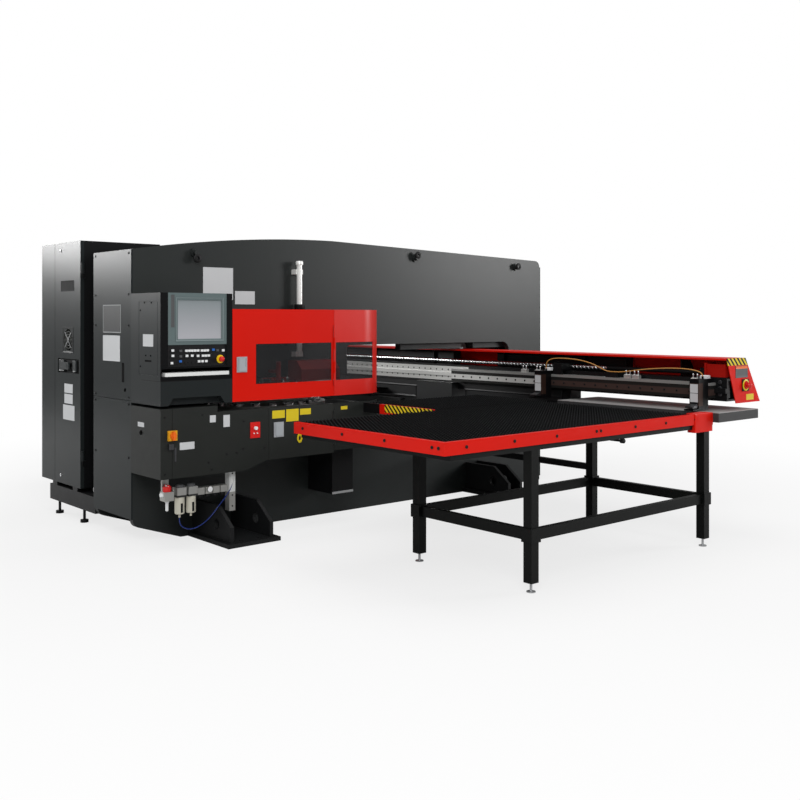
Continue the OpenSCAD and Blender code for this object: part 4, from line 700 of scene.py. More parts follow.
# Brush filaments whose tips carry a painted highlight.
BRUSHES = Bristle("brush_filament", (0.0010, 0.0010, 0.0012), 0.7, drift=0.3, drift_scale=60.0, grain=0.5,
                  grain_scale=500.0, specular=0.04)
TINT = Pane("tinted_pane", (0.030, 0.031, 0.033), 0.08, drift=0.05, grain=0.0, smudge=0.02, clear=0.62)


@dataclass
class MachineFrame:
    """Bridge frame: paint, end-cover screws and plates, lifting bosses and the air column's cap."""

    side_x: float = 0.324
    front_y: float = -2.232
    screw_x: float = 0.285
    screw_rows: Row = (2.119, 1.818, 1.590, 1.063, 1.016, 0.626)
    lock: Pair = (0.226, 1.117)
    column: Pair = (0.386, -0.792)
    cap_z: float = 2.078
    cuff_z: float = 1.712
    trays: Spots = ((0.395, 1.183), (1.317, 1.758))
    bosses: Spots = ((-1.714, 2.096), (0.522, 2.210), (1.857, 2.153))
    boss_seat: float = 0.008

    def dress(self, shop: Shop) -> None:
        """Give the frame's nodes their paint."""
        shop.node(PAINT, "side_plates")
        shop.node(COVER_PAINT, "end_covers")
        shop.node(DARK_PAINT, "bed_weldment", "arm_weldment", "foot_brackets", "saddle")
        shop.node(COLUMN_ALLOY, "air_column")
        shop.node(BRIGHT_STEEL, "ram_rod", "punch_tools", "die_tools")
        shop.node(GROUND_STEEL, "ram_cylinder")
        shop.node(TURRET_STEEL, "upper_turret", "lower_turret")
        shop.node(Finish("drive_paint", (0.20, 0.006, 0.008), 0.3, specular=0.3), "index_drive")
        lip = Zone(SILVER, 0.35, 0.8, x=(0.6535, None), z=(None, 0.245))
        shop.node(Finish("chute_paint", (0.003, 0.003, 0.0035), 0.5, zones=(lip,)), "slug_chute")

    def build(self, shop: Shop) -> None:
        """Add the end cover's screws and bare plates and the side plate's fittings."""
        x, y = self.side_x, self.front_y
        places = [(s * self.screw_x, y, z) for s in (-1, 1) for z in self.screw_rows]
        shop.add(screw_heads("end_cover_screws", places, FRONT, 9), BLACK_PLASTIC)
        inner = Zone((0.020, 0.021, 0.022), 0.4, x=(-0.143, 0.151), z=(1.541, 1.737))
        shop.add(plates("data_plate", FRONT, y, 0.0018, 0.006, 0.0004, (-0.150, 1.534, 0.158, 1.744)),
                 Finish("data_plate_print", (0.20, 0.21, 0.21), 0.4, zones=(inner,)), "plate_grey")
        shop.add(plates("card_holder", FRONT, y, 0.002, 0.008, 0.0006, (-0.150, 1.322, 0.142, 1.514)),
                 WHITE_PLATE, "plate_grey")
        slot = plates("cover_slot", FRONT, y, 0.0014, 0.003, 0.0010, (0.175, 1.172, 0.210, 1.316))
        lock = turned("cover_lock", [(13, 0), (13, 3), (10, 4), (6, 4), (5, 2)], FRONT,
                      (self.lock[0], y, self.lock[1]), 24)
        shop.add(join([slot, lock]), DULL_BLACK, "key_black")
        for name, rim, rect in (("side_plate_tablet", 0.008, (-1.643, 1.785, -1.379, 2.034)),
                                ("side_plate_note", 0.006, (-1.361, 1.752, -1.180, 1.856))):
            shop.add(plates(name, RIGHT, x, 0.002, rim, 0.0005, rect), WHITE_PLATE, "plate_grey")
        shop.add(turned("column_cap", [(31, 0), (31, 20), (27, 30), (12, 30), (10, 22)], UP,
                        (*self.column, self.cap_z)), COLUMN_ALLOY, "bright_steel")
        shop.add(turned("column_cuff", [(25, 0), (40, 0), (42, 4), (42, 40), (39, 44), (25, 44), (25, 0)], UP,
                        (*self.column, self.cuff_z), ring=True), BLACK_PLASTIC)
        trays = [tablet("throat_trays", (0.20, y0, 1.357), (0.268, y1, 1.44), RIGHT, 0.012, 0.004)
                 for y0, y1 in self.trays]
        shop.add(join(trays), BLACK_PAINT)
        knob = turned("lifting_boss_caps", [(26, -4), (33, 0), (33, 10), (27, 14), (14, 14), (12, 6)], RIGHT,
                      sides=16)
        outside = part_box("side_plates")[1][0] - self.boss_seat
        shop.add(scatter(knob, [(outside, y, z) for y, z in self.bosses]), BLACK_PLASTIC)


@dataclass
class Console:
    """Control console: bezel lip, keys, screen, drawer and left side fittings."""

    front_x: float = 0.779
    left_y: float = -2.232
    panel_x: float = 0.767
    panel_z: float = 1.206
    screen_y: float = -1.922
    lip_back: float = 0.773
    key_size: Pair = (0.020, 0.016)
    white_keys: Spots = (
        (-2.134, 1.418), (-2.028, 1.414), (-2.005, 1.414), (-1.982, 1.414), (-1.959, 1.414), (-1.936, 1.414),
        (-1.905, 1.413), (-1.882, 1.413), (-1.859, 1.413), (-1.731, 1.411), (-2.134, 1.381), (-2.024, 1.378),
        (-1.982, 1.378), (-1.936, 1.376), (-1.896, 1.376), (-1.873, 1.376), (-1.850, 1.376), (-2.141, 1.330),
        (-1.928, 1.337), (-1.900, 1.337), (-1.870, 1.337))
    blue_keys: Spots = ((-1.812, 1.417), (-2.074, 1.341))
    grey_keys: Spots = ((-1.778, 1.412), (-2.072, 1.414), (-2.072, 1.376))
    side_screws: Spots = ((0.537, 1.753), (0.642, 1.752), (0.558, 1.380), (0.632, 1.380), (0.475, 1.700),
                          (0.475, 1.300))

    def dress(self, shop: Shop) -> None:
        """Give the console's nodes their finishes."""
        upper: Span = (self.panel_z, None)
        front = Zone(BLACK, 0.25, x=(self.front_x - 0.004, None), z=upper)
        seam = Zone((0.001, 0.001, 0.001), 0.6, x=(0.490, None), z=(1.2025, self.panel_z))
        edge = Zone((0.002, 0.002, 0.002), 0.6, x=(0.7255, 0.7275), y=(None, self.left_y + 0.001), z=upper)
        shop.node(Finish("console_paint", LIGHT_CHARCOAL, 0.32, drift=0.08, grain=0.03, smudge=0.01,
                         specular=0.16, zones=(front, seam, edge)), "console_housing")
        lip = Zone((0.42, 0.46, 0.49), 0.3, x=(self.front_x - 0.0045, None), y=(-2.098, -1.746),
                   z=(1.493, 1.771))
        shop.node(Finish("bezel_plastic", (0.105, 0.140, 0.142), 0.34, drift=0.06, zones=(lip,)),
                  "monitor_bezel")
        # Screen glass whose colour is a painted reflection.
        shop.node(Display("screen_glass", (0.28, 0.29, 0.30), 0.2, grain=0.0, smudge=0.03), "monitor_screen")
        ring = Zone(YELLOW, 0.35, x=(self.panel_x + 0.004, None), disc=("yz", -1.757, 1.349, 0.0305))
        shop.node(Finish("key_plastic", (0.009, 0.009, 0.010), 0.36, zones=(ring,)), "key_panel")
        keys = Zone((0.70, 0.71, 0.70), 0.4, z=(1.2365, None))
        shop.node(Finish("drawer_paint", BLACK, 0.36, zones=(keys,)), "keyboard_drawer")
        shop.node(STOP_RED, "console_estop")

    def build(self, shop: Shop) -> None:
        """Add the keys, the bezel's raised rim and the left side's fittings."""
        w, h = self.key_size
        for name, places, finish, slot in (("white_keys", self.white_keys, WHITE_PLASTIC, "bezel_grey"),
                                           ("blue_keys", self.blue_keys, BLUE_PLASTIC, "key_black"),
                                           ("grey_keys", self.grey_keys, GREY_PLATE, "key_black")):
            cap = tablet(name, (0.0, -w / 2, -h / 2), (0.006, w / 2, h / 2), RIGHT, 0.0025, 0.0005)
            shop.add(scatter(cap, [(self.panel_x, y, z) for y, z in places]), finish, slot)
        rim = tablet("bezel_lip", (0.769, -2.113, 1.481), (0.7785, -1.731, 1.790), RIGHT, 0.016, 0.0085)
        pierce(rim, lambda m, n: abs(n.x) > LEVEL and abs(m.y - self.screen_y) < 0.1 and m.x < self.lip_back)
        shop.add(rim, Finish("bezel_lip_plastic", (0.17, 0.21, 0.215), 0.3, drift=0.05), "bezel_grey")
        strip = tablet("bezel_strip", (0.772, -2.150, 1.580), (0.7775, -2.124, 1.808), RIGHT, 0.004, 0.001)
        shop.add(strip, GREY_PLATE, "bezel_grey")
        y = self.left_y
        shop.add(plates("console_tag", FRONT, y, 0.0015, 0.005, 0.0004, (0.515, 1.444, 0.671, 1.530)),
                 WHITE_PLATE, "plate_grey")
        slit = plates("console_slot", FRONT, y, 0.0012, 0.003, 0.001, (0.545, 1.335, 0.642, 1.348))
        screws = screw_heads("console_screws", [(x, y, z) for x, z in self.side_screws], FRONT, 6)
        shop.add(join([slit, screws]), DULL_BLACK, "key_black")


@dataclass
class Guards:
    """Red turret guards and the charcoal lower covers with their plates, latches and switches."""

    x: float = 0.779
    front_y: float = -2.232
    hook: Pair = (-1.067, 0.724)
    hook_scale: Point = (1.0, 1.0, 1.6)
    box_lock: Pair = (0.483, 0.828)
    rim_x: Span = (0.7792, 0.80)
    rims: tuple[tuple[Span, Span], ...] = (((-1.6245, -1.5385), (1.2465, 1.3605)),
                                           ((-1.3015, -1.2155), (0.7465, 0.8605)))
    yellow: tuple[Rect, ...] = (
        (-1.315, 0.888, -1.202, 0.947), (-1.189, 0.857, -1.075, 0.950), (-1.062, 0.901, -0.960, 0.947))
    yellow_rear: tuple[Rect, ...] = ((-0.668, 0.917, -0.603, 0.944),)
    pale: tuple[Rect, ...] = (
        (-2.085, 0.719, -1.970, 0.771), (-1.846, 0.896, -1.798, 0.947), (-1.735, 0.855, -1.682, 0.942))
    screws: Spots = ((-1.707, 0.659), (-1.623, 0.660), (-1.569, 0.685), (-1.562, 0.886), (-1.382, 0.679),
                     (-1.855, 0.611), (-1.905, 0.955), (-2.200, 0.955), (-2.200, 0.560), (-1.830, 0.560))

    def dress(self, shop: Shop) -> None:
        """Give the guards and covers their paint, latches and panes."""
        upper, lower = (Zone((0.36, 0.37, 0.39), 0.4, x=self.rim_x, y=y, z=z) for y, z in self.rims)
        shop.node(replace(RED_PAINT, name="door_paint", zones=(upper,)), "turret_door")
        shop.node(replace(RED_PAINT, name="guard_panel_paint", rough=0.32, specular=0.4), "guard_panels")
        shop.node(TINT, "turret_door_window", "guard_window")
        shop.node(LATCH_GREY, "turret_door_latch", "lower_door_latch")
        shop.node(Finish("lower_door_paint", (0.0165, 0.018, 0.0165), 0.42, drift=0.16, grain=0.1,
                         zones=(lower,)), "lower_door")
        shop.node(Finish("lower_cover_paint", (0.0175, 0.019, 0.0175), 0.42, drift=0.14, grain=0.1,
                         specular=0.14), "lower_cover_box", "lower_cover_mid", "lower_side_covers")
        shop.node(Finish("isolator_plastic", (0.62, 0.30, 0.012), 0.4), "isolator_base")
        shop.node(ORANGE_PLATE, "isolator_handle")
        knob = Zone(WHITE, 0.35, x=(self.x + 0.0065, None))
        shop.node(Finish("socket_plate", (0.62, 0.012, 0.010), 0.35, zones=(knob,)), "pedal_plate")

    def build(self, shop: Shop) -> None:
        """Add the plates, the hook's ring, the padlock, the round lock and the screws."""
        x, y = self.x, self.front_y
        for name, rects, finish, slot, body in (
                ("yellow_plates", self.yellow, YELLOW_PLATE, "safety_yellow", "service_door"),
                ("yellow_plate_rear", self.yellow_rear, YELLOW_PLATE, "safety_yellow", "frame"),
                ("cover_plates", self.pale, WHITE_PLATE, "plate_grey", "frame")):
            shop.add(plates(name, RIGHT, x, 0.0016, 0.004, 0.0003, *rects), finish, slot, body)
        ring = turned("hook_ring", [(12, 0), (22, 0), (23.5, 4), (22, 8), (12, 8), (11, 4), (12, 0)], RIGHT,
                      ring=True)
        ring.scale = self.hook_scale
        ring.location = (x, *self.hook)
        shop.add(settle(ring), YELLOW_PLATE, "safety_yellow", "service_door")
        shop.add(tablet("isolator_padlock", (x + 0.001, -2.176, 0.728), (x + 0.020, -2.142, 0.768), RIGHT,
                        0.006, -0.002), DARK_STEEL, "steel_grey")
        shop.add(plates("padlock_strap", RIGHT, x, 0.003, 0.003, 0.0006, (-2.126, 0.640, -2.112, 0.740)),
                 DARK_STEEL, "steel_grey")
        shop.add(plates("box_label", FRONT, y, 0.0015, 0.003, 0.0004, (0.434, 0.869, 0.531, 0.901)),
                 WHITE_PLATE, "plate_grey")
        lock = turned("box_lock", [(17, 0), (17, 4), (13, 7), (7, 7), (6, 4)], FRONT,
                      (self.box_lock[0], y, self.box_lock[1]), 24)
        shop.add(lock, DULL_BLACK, "key_black")
        shop.add(screw_heads("cover_screws", [(x, v, z) for v, z in self.screws], RIGHT, 7), BLACK_PLASTIC)
        shop.add(tablet("latch_slot", (0.7915, -1.558, 1.290), (0.7932, -1.549, 1.346), RIGHT, 0.002, 0.0008),
                 BLACK_PLASTIC, "key_black", "guard_latch")


@dataclass
class AirSupply:
    """Filters, regulators and lockout valve under the lower covers."""

    x: float = 0.700
    valve_y: float = -2.142
    drain_z: float = 0.362
    inlet_z: float = 0.405
    cap_z: float = 0.444
    bowls: Pair = (-2.044, -1.954)
    bracket: Pair = (0.704, -1.615)
    bracket_rows: Row = (0.26, 0.34, 0.50)

    def dress(self, shop: Shop) -> None:
        """Give the air unit's blocks, caps and bowls their finishes."""
        black = Zone(BLACK, 0.4, y=(-1.915, -1.660), z=(None, 0.376))
        bands = (Zone((0.03, 0.03, 0.03), 0.4, y=(y - 0.04, y + 0.04), z=(0.376, 0.392)) for y in self.bowls)
        dial = Zone(WHITE, 0.25, x=(0.7355, None), disc=("yz", -1.818, 0.410, 0.019))
        bracket = Zone((0.66, 0.67, 0.66), 0.4, y=(-1.645, None), z=(0.365, None))
        shop.node(Finish("air_alloy", (0.42, 0.42, 0.40), 0.40, 0.7, grain=0.2, grain_scale=260.0,
                         zones=(black, *bands, dial, bracket)), "air_unit")
        windows = tuple(Zone(BLACK, 0.2, x=(0.715, None), y=(y - 0.009, y + 0.009), z=(0.268, 0.335))
                        for y in self.bowls)
        shop.node(Finish("bowl_plastic", (0.52, 0.50, 0.42), 0.35, drift=0.08, zones=windows), "filter_bowls")
        shop.node(STOP_RED, "lockout_knob")

    @staticmethod
    def elbow(name: str, radius: float, bend: float, at: Point) -> Piece:
        """Tube that leaves a block towards the front and bends upwards, spun from a circle."""
        piece = circle(name, 16, radius, at, FRONT.value)
        edit(piece)
        bpy.ops.mesh.spin(steps=8, angle=-QUARTER, center=(at[0], at[1], at[2] + bend), axis=(1.0, 0.0, 0.0))
        bpy.ops.mesh.extrude_region_move(TRANSFORM_OT_translate={"value": (0.0, 0.0, bend)})
        close()
        bpy.ops.object.shade_smooth_by_angle(angle=BEND_ANGLE)
        return piece

    def build(self, shop: Shop) -> None:
        """Add the white drain, the inlet elbow, the filters' caps and the bracket's screws."""
        drain = turned("valve_drain", [(6, -75), (11, -71), (11, -16), (15, -12), (15, 2)], UP,
                       (self.x, self.valve_y, self.drain_z), 24)
        shop.add(drain, WHITE_PLASTIC, "bezel_grey")
        inlet = self.elbow("inlet_elbow", 0.011, 0.034, (self.x, self.valve_y - 0.036, self.inlet_z))
        nut = turned("inlet_nut", [(19, -2), (19, 12), (16, 16), (11, 16)], FRONT,
                     (self.x, self.valve_y - 0.035, self.inlet_z), 6)
        shop.add(join([inlet, nut]), WHITE_PLASTIC, "bezel_grey")
        cap = turned("filter_caps", [(30, 0), (30, 14), (24, 20), (12, 20), (10, 12)], UP, sides=24)
        shop.add(scatter(cap, [(self.x, y, self.cap_z) for y in self.bowls]), GREY_PLATE)
        places = [(*self.bracket, z) for z in self.bracket_rows]
        shop.add(screw_heads("bracket_screws", places, RIGHT, 6), BLACK_PLASTIC)


@dataclass
class Cabinet:
    """Electrical cabinet: fan grille, bare plates, latch blocks, locks and the base's web."""

    y: float = -2.218
    fan: Pair = (-0.853, 1.465)
    fan_half: float = 0.104
    fan_open: float = 0.06
    spoke: Point = (0.088, 0.0015, 0.003)
    pale: tuple[Rect, ...] = (
        (-0.925, 1.033, -0.758, 1.107), (-0.925, 0.946, -0.758, 1.023), (-0.952, 0.813, -0.722, 0.934))
    latches: Spots = ((-1.030, -0.926), (-0.752, -0.690))
    lock_x: float = -0.998
    lock_rows: Pair = (2.198, 0.345)

    def dress(self, shop: Shop) -> None:
        """Give the cabinet's nodes their paint and the grille its metal."""
        side = Zone(BLACK, 0.45, x=(-0.6075, None), y=(-2.217, None))
        seam = Zone(GAP, 0.8, x=(-1.1285, -1.1225), y=(None, -2.2))
        shop.node(replace(CABINET_PAINT, zones=(side, seam)), "cabinet_shell")
        grille = Zone((0.085, 0.090, 0.085), 0.3, 0.6, disc=("xz", *self.fan, 0.0945))
        # Painted shade: the handle recess behind the door's face is painted near-black.
        recess_shade = Zone(GAP, 0.8, x=(-1.062, -0.632), y=(self.y + 0.0005, None), z=(1.196, 1.312))
        shop.node(replace(CABINET_PAINT, name="cabinet_door_paint", zones=(grille, recess_shade)), "cabinet_door")
        shop.node(Finish("fan_plastic", (0.030, 0.031, 0.030), 0.35, 0.3), "cabinet_fan")
        shop.node(LATCH_HIGHLIGHT_PAINT, "cabinet_handle")
        shop.node(BLACK_PAINT, "cabinet_base")

    def spokes(self) -> Piece:
        """Crossed wires that hold the rings of the fan's grille."""
        bars = []
        for turn in (-1, 1):
            bar = block("fan_spokes", tuple(-half for half in self.spoke), self.spoke, 0.0012)
            bar.rotation_euler = (0.0, turn * math.pi / 4, 0.0)
            bar.location = (self.fan[0], self.y - 0.0005, self.fan[1])
            bars.append(settle(bar))
        return join(bars)

    def build(self, shop: Shop) -> None:
        """Add the fan's frame and spokes, the plates, the latch blocks, the web and the locks."""
        y, half = self.y, self.fan_half
        x, z = self.fan
        frame = plates("fan_frame", FRONT, y, 0.003, 0.010, 0.002, (x - half, z - half, x + half, z + half))
        pierce(frame, lambda m, n: abs(n.y) > 0.9 and max(abs(m.x - x), abs(m.z - z)) < self.fan_open)
        shop.add(frame, BLACK_PLASTIC, body="panel_door")
        shop.add(self.spokes(), BRIGHT_STEEL, "bright_steel", "panel_door")
        shop.add(plates("cabinet_vent_plate", FRONT, y, 0.002, 0.008, 0.001, (-0.998, 1.862, -0.732, 1.950)),
                 Finish("vent_print", (0.006, 0.007, 0.007), 0.6, specular=0.05), "plate_grey", "panel_door")
        shop.add(plates("cabinet_plates", FRONT, y, 0.0016, 0.005, 0.0003, *self.pale), WHITE_PLATE,
                 "plate_grey", "panel_door")
        blocks = [tablet("latch_blocks", (x0, y - 0.006, 1.208), (x1, y + 0.009, 1.300), FRONT, 0.010, 0.002)
                  for x0, x1 in self.latches]
        shop.add(join(blocks), LATCH_HIGHLIGHT_PAINT, "latch_grey", "panel_door")
        shop.add(tablet("base_web", (-1.200, -2.1178, 0.200), (-0.612, -2.107, 0.2815), FRONT, 0.010, 0.002),
                 BLACK_PAINT)
        lock = turned("door_locks", [(13, 0), (13, 4), (10, 6), (5, 6), (4, 3)], FRONT, sides=20)
        places = [(self.lock_x, y, row) for row in self.lock_rows]
        shop.add(scatter(lock, places), BRIGHT_STEEL, "bright_steel", "panel_door")


@dataclass
class Tables:
    """Brush tables: filaments, band bolts, corner, tie, bridge rail and lever."""

    tuft_pitch: float = 0.029
    tuft_r: float = 5.2
    tuft_shape: Spots = ((0.9, 950.0), (1.1, 957.0), (1.2, 963.0), (0.5, 966.2))
    foot_z: float = 0.058
    band_x: float = 3.101
    band_y: float = -1.728
    bolt_z: Pair = (0.927, 0.928)
    bolts_y: Row = (-1.560, -1.167, -0.789, -0.404, -0.361, 0.004, 0.350, 0.703)
    bolts_x: Row = (1.760, 2.180, 2.588, 2.999, 3.052)
    beds: tuple[tuple[str, float, float, int, float, float, str], ...] = (
        ("tufts_right", 1.672, 3.0597, 31, -1.690, 0.720, "frame"),
        ("tufts_left", -2.5787, -1.672, 21, -1.690, 0.720, "frame"),
        ("tufts_moving_right", 0.816, 1.609, 18, -0.420, 0.846, "carriage"),
        ("tufts_moving_left", -1.609, -0.816, 18, -0.193, 0.846, "carriage"))

    def dress(self, shop: Shop) -> None:
        """Give the bands, beds, frames and plates their finishes."""
        shop.node(RED_PAINT, "table_bands")
        shop.node(BRUSHES, "brush_beds", "moving_tables")
        feet = Zone((0.55, 0.56, 0.57), 0.35, 0.8, z=(None, self.foot_z))
        shop.node(Finish("leg_paint", (0.0034, 0.0040, 0.0036), 0.42, drift=0.15, specular=0.14,
                         zones=(feet,)), "table_frames")
        edge = Zone((0.035, 0.035, 0.036), 0.45, z=(None, 0.9600))
        shop.node(Finish("rear_plate_paint", (0.36, 0.355, 0.35), 0.36, 0.2, drift=0.1, drift_scale=8.0,
                         zones=(edge,)), "rear_tables")
        stripes = Zone((0.78, 0.62, 0.03), 0.4, x=(1.07, None), y=(None, -0.449), z=(0.903, None),
                       stripes=0.046)
        inner = Zone(BLACK, 0.5, x=(-1.008, 1.008))
        shop.node(replace(BAND_PAINT, zones=(stripes, inner)), "moving_bands")

    def tufts(self, name: str, x0: float, x1: float, strips: int, y0: float, y1: float) -> Piece:
        """Flared tufts in rows on the brush strips of one bed.

        Args:
            name: Name of the piece.
            x0: Middle of the first strip.
            x1: Middle of the last strip.
            strips: Number of strips.
            y0: First tuft's place along the strip.
            y1: End of the strip.

        Returns:
            All tufts of the bed as one piece.
        """
        tuft = turned(name, [(self.tuft_r * r, z) for r, z in self.tuft_shape], UP, (x0, y0, 0.0), 6)
        array(tuft, int((y1 - y0) / self.tuft_pitch) + 1, (0.0, self.tuft_pitch, 0.0))
        array(tuft, strips, ((x1 - x0) / (strips - 1), 0.0, 0.0))
        return tuft

    def build(self, shop: Shop) -> None:
        """Add the filaments, the bolts of the bands, the corner, the tie, the rail and the lever."""
        for *bed, body in self.beds:
            shop.add(self.tufts(*bed), BRUSHES, "brush_black", body)
        side_z, front_z = self.bolt_z
        side = screw_heads("band_bolts", [(self.band_x, y, side_z) for y in self.bolts_y], RIGHT, 10)
        front = screw_heads("band_bolts_front", [(x, self.band_y, front_z) for x in self.bolts_x], FRONT, 10)
        shop.add(join([side, front]), BLACK_PLASTIC)
        corner = tablet("table_corner", (3.045, 0.695, 0.832), (3.106, 0.919, 0.9655), RIGHT, 0.012, -0.002)
        shop.add(corner, RED_PAINT, "guard_red")
        tie = block("table_tie", (0.330, 0.859, 0.430), (2.020, 0.899, 0.480), 0.004, 3)
        flange = tablet("tie_flange", (0.325, 0.829, 0.400), (0.333, 0.929, 0.510), RIGHT, 0.010, 0.001)
        shop.add(join([tie, flange]), BLACK_PAINT)
        rail = tablet("bridge_rail", (-1.640, 1.165, 0.762), (-0.3245, 1.200, 0.857), FRONT, 0.012, 0.004)
        shop.add(rail, BLACK_PAINT)
        lever = turned("table_lever", [(8, 0), (8, 80), (16, 86), (16, 110), (10, 116)], RIGHT,
                       (2.990, -0.119, 0.842), 20)
        shop.add(lever, BLACK_PLASTIC)


@dataclass
class Carriage:
    """Clamp carriage: thread, bar screws, clamp faces, end panel, trays and air fittings."""

    screw_at: Pair = (1.200, 1.232)
    thread_x: Pair = (-2.540, 1.960)
    thread_lead: float = 0.040
    thread_r: Pair = (0.0155, 0.007)
    thread_steps: int = 14
    bar_y: float = 1.050
    bar_screw_z: float = 1.096
    bar_screw_x: Row = tuple(0.300 + 0.110 * i for i in range(25))
    # Heights of painted light on the slide bar: a painted highlight along its top edge, and a band on its
    # face that is partly bright steel, partly painted highlight, with painted red reflection past the first
    # clamp.
    top_highlight_z: Span = (1.1445, 1.1655)
    face_sheen_z: Span = (1.0717, 1.117)
    clamp_x: Pair = (1.442, 2.950)
    clamp_front: float = 0.926
    clamp_clear: float = 0.055
    face_size: Pair = (0.032, 0.064)
    face_z: Pair = (1.028, 1.096)
    stop: Pair = (1.369, 1.142)
    valve_x: Row = (1.150, 1.310, 2.250, 2.330, 2.860)
    valve_at: Pair = (1.085, 1.164)
    manifold_at: Pair = (1.075, 1.195)
    nipple_off: Pair = (-0.018, 0.018)
    nipple_z: float = 0.027
    trays: Spots = ((-2.500, 0.030), (0.620, 2.080))
    aprons: Spots = ((-1.570, -0.350), (0.350, 1.520))
    plug_at: Pair = (3.041, 1.137)
    plug_rows: Row = (1.080, 1.125, 1.170)

    def dress(self, shop: Shop) -> None:
        """Give the carriage's nodes their finishes."""
        shop.node(RED_PAINT, "carriage_cover")
        guide = Zone(ALLOY, 0.30, 0.40, x=(None, 0.400), y=(None, 1.131), z=(1.046, 1.180))
        rows = (Zone((0.02, 0.02, 0.02), 0.5, x=(None, 0.36), y=(None, 1.131), dots=(0.083, z, 0.008))
                for z in (1.080, 1.148))
        shop.node(Finish("beam_paint", BLACK, 0.38, drift=0.15, zones=(guide, *rows)), "carriage_beam")
        hazard = Zone((0.70, 0.55, 0.03), 0.4, x=(3.09, None), z=(1.293, None), stripes=0.050)
        plate = Zone(BLACK, 0.35, x=(3.1015, None), z=(1.0965, 1.1875))
        collar = Zone(KNOB_RED, 0.25, x=(3.1075, None), disc=("yz", *self.stop, 0.0305))
        shop.node(replace(BAND_PAINT, name="end_panel_paint", zones=(hazard, plate, collar)), "end_panels")
        shop.node(STOP_RED, "carriage_estop")
        hood = Zone((0.30, 0.006, 0.003), 0.45, z=(1.205, None))
        shop.node(Finish("motor_paint", BLACK, 0.42, specular=0.1, zones=(hood,)), "screw_motor")
        sleeve = Zone(BLACK, 0.5, x=(self.thread_x[1], None))
        shop.node(Finish("screw_steel", STEEL, 0.2, 1.0, drift=0.08, zones=(sleeve,)), "x_screw")
        # Slide bar: painted highlight along the top edge. The band on the face is partly bright steel and
        # partly painted highlight. Past the first clamp, that band is painted as a dull red reflection.
        top_highlight = Zone((0.30, 0.30, 0.29), 0.3, 0.4, z=self.top_highlight_z)
        steel_and_highlight_band = Zone(ALLOY, 0.3, 0.4, z=self.face_sheen_z)
        red_reflection = Zone((0.060, 0.038, 0.033), 0.34, 0.25, x=(1.470, None), z=self.face_sheen_z)
        arm = Zone(BLACK, 0.4, z=(self.top_highlight_z[1], None))
        shop.node(Finish("bar_steel", (0.020, 0.020, 0.019), 0.30, 0.40, drift=0.22, drift_scale=30.0,
                         stretch=ALONG_X, smudge=0.1, zones=(top_highlight, steel_and_highlight_band, red_reflection, arm)), "slide_bar")
        cheek = Zone((0.050, 0.026, 0.019), 0.38, 0.4, y=(None, self.clamp_front + 0.055), z=(1.000, 1.166))
        shop.node(Finish("clamp_steel", BLACK, 0.4, 0.4, drift=0.2, zones=(cheek,)), "clamp_bodies")
        shop.node(DARK_STEEL, "clamp_jaw_inner", "clamp_jaw_outer")

    def build(self, shop: Shop) -> None:
        """Add the screw's thread, the bar's screws, the clamps' faces and the end panel's plates."""
        self.build_thread(shop)
        holes = [(x, self.bar_y, self.bar_screw_z) for x in self.bar_screw_x
                 if all(abs(x - clamp) > self.clamp_clear for clamp in self.clamp_x)]
        shop.add(screw_heads("bar_screws", holes, FRONT, 8), BLACK_PLASTIC, body="cross_slide")
        half, tall = self.face_size
        rects = [(x - half, z, x + half, z + tall) for x in self.clamp_x for z in self.face_z]
        faces = plates("clamp_faces", FRONT, self.clamp_front, 0.003, 0.005, 0.0008, *rects)
        shop.add(faces, WHITE_PLATE, "tool_steel", "cross_slide")
        for finish, slot, name, low, high, rim, sink in (
                (GREY_PLATE, "plate_grey", "operator_plate",
                 (3.100, 1.236, 1.199), (3.104, 1.404, 1.288), 0.014, 0.001),
                (ORANGE_PLATE, "isolator_orange", "operator_edge",
                 (3.101, 1.240, 1.266), (3.1052, 1.400, 1.285), 0.003, 0.0004),
                (YELLOW_PLATE, "safety_yellow", "end_tag",
                 (3.100, 1.386, 1.028), (3.1025, 1.490, 1.072), 0.005, 0.0004)):
            shop.add(tablet(name, low, high, RIGHT, rim, sink), finish, slot, "carriage")
        ring = turned("stop_ring", [(31, 0), (43, 0), (43, 3), (40, 4.5), (31, 4.5), (31, 0)], RIGHT,
                      (3.107, *self.stop), 40, True)
        shop.add(ring, YELLOW_PLATE, "safety_yellow", "carriage")
        self.build_trays(shop)
        self.build_fittings(shop)

    def build_trays(self, shop: Shop) -> None:
        """Add the black trays inside the cover, which stand in for the shade there, the skirt and aprons
        below the beam and the plugs.
        """
        # Black trays set where the inside of the cover lies in shade: dark sheets standing in for that shade.
        trays = [tablet("shade_trays", (x0, 1.292, 1.170), (x1, 1.384, 1.318), FRONT, 0.012, 0.006)
                 for x0, x1 in self.trays]
        skirt = tablet("beam_skirt", (-1.600, 1.136, 0.968), (1.530, 1.152, 1.034), FRONT, 0.010, 0.002)
        aprons = [tablet("beam_apron", (x0, 1.137, 0.862), (x1, 1.151, 0.972), FRONT, 0.012, 0.003)
                  for x0, x1 in self.aprons]
        shop.add(join([*trays, skirt, *aprons]), BLACK_PAINT, body="carriage")
        hub = tablet("plug_bank", (2.996, 1.136, 1.052), (3.086, 1.186, 1.198), FRONT, 0.010, 0.004)
        shop.add(hub, BLACK_PLASTIC, body="carriage")
        plug = turned("plugs", [(15, -2), (15, 16), (12, 20), (7, 20), (6, 12)], FRONT, sides=20)
        places = [(*self.plug_at, z) for z in self.plug_rows]
        shop.add(scatter(plug, places), DARK_STEEL, "bright_steel", "carriage")

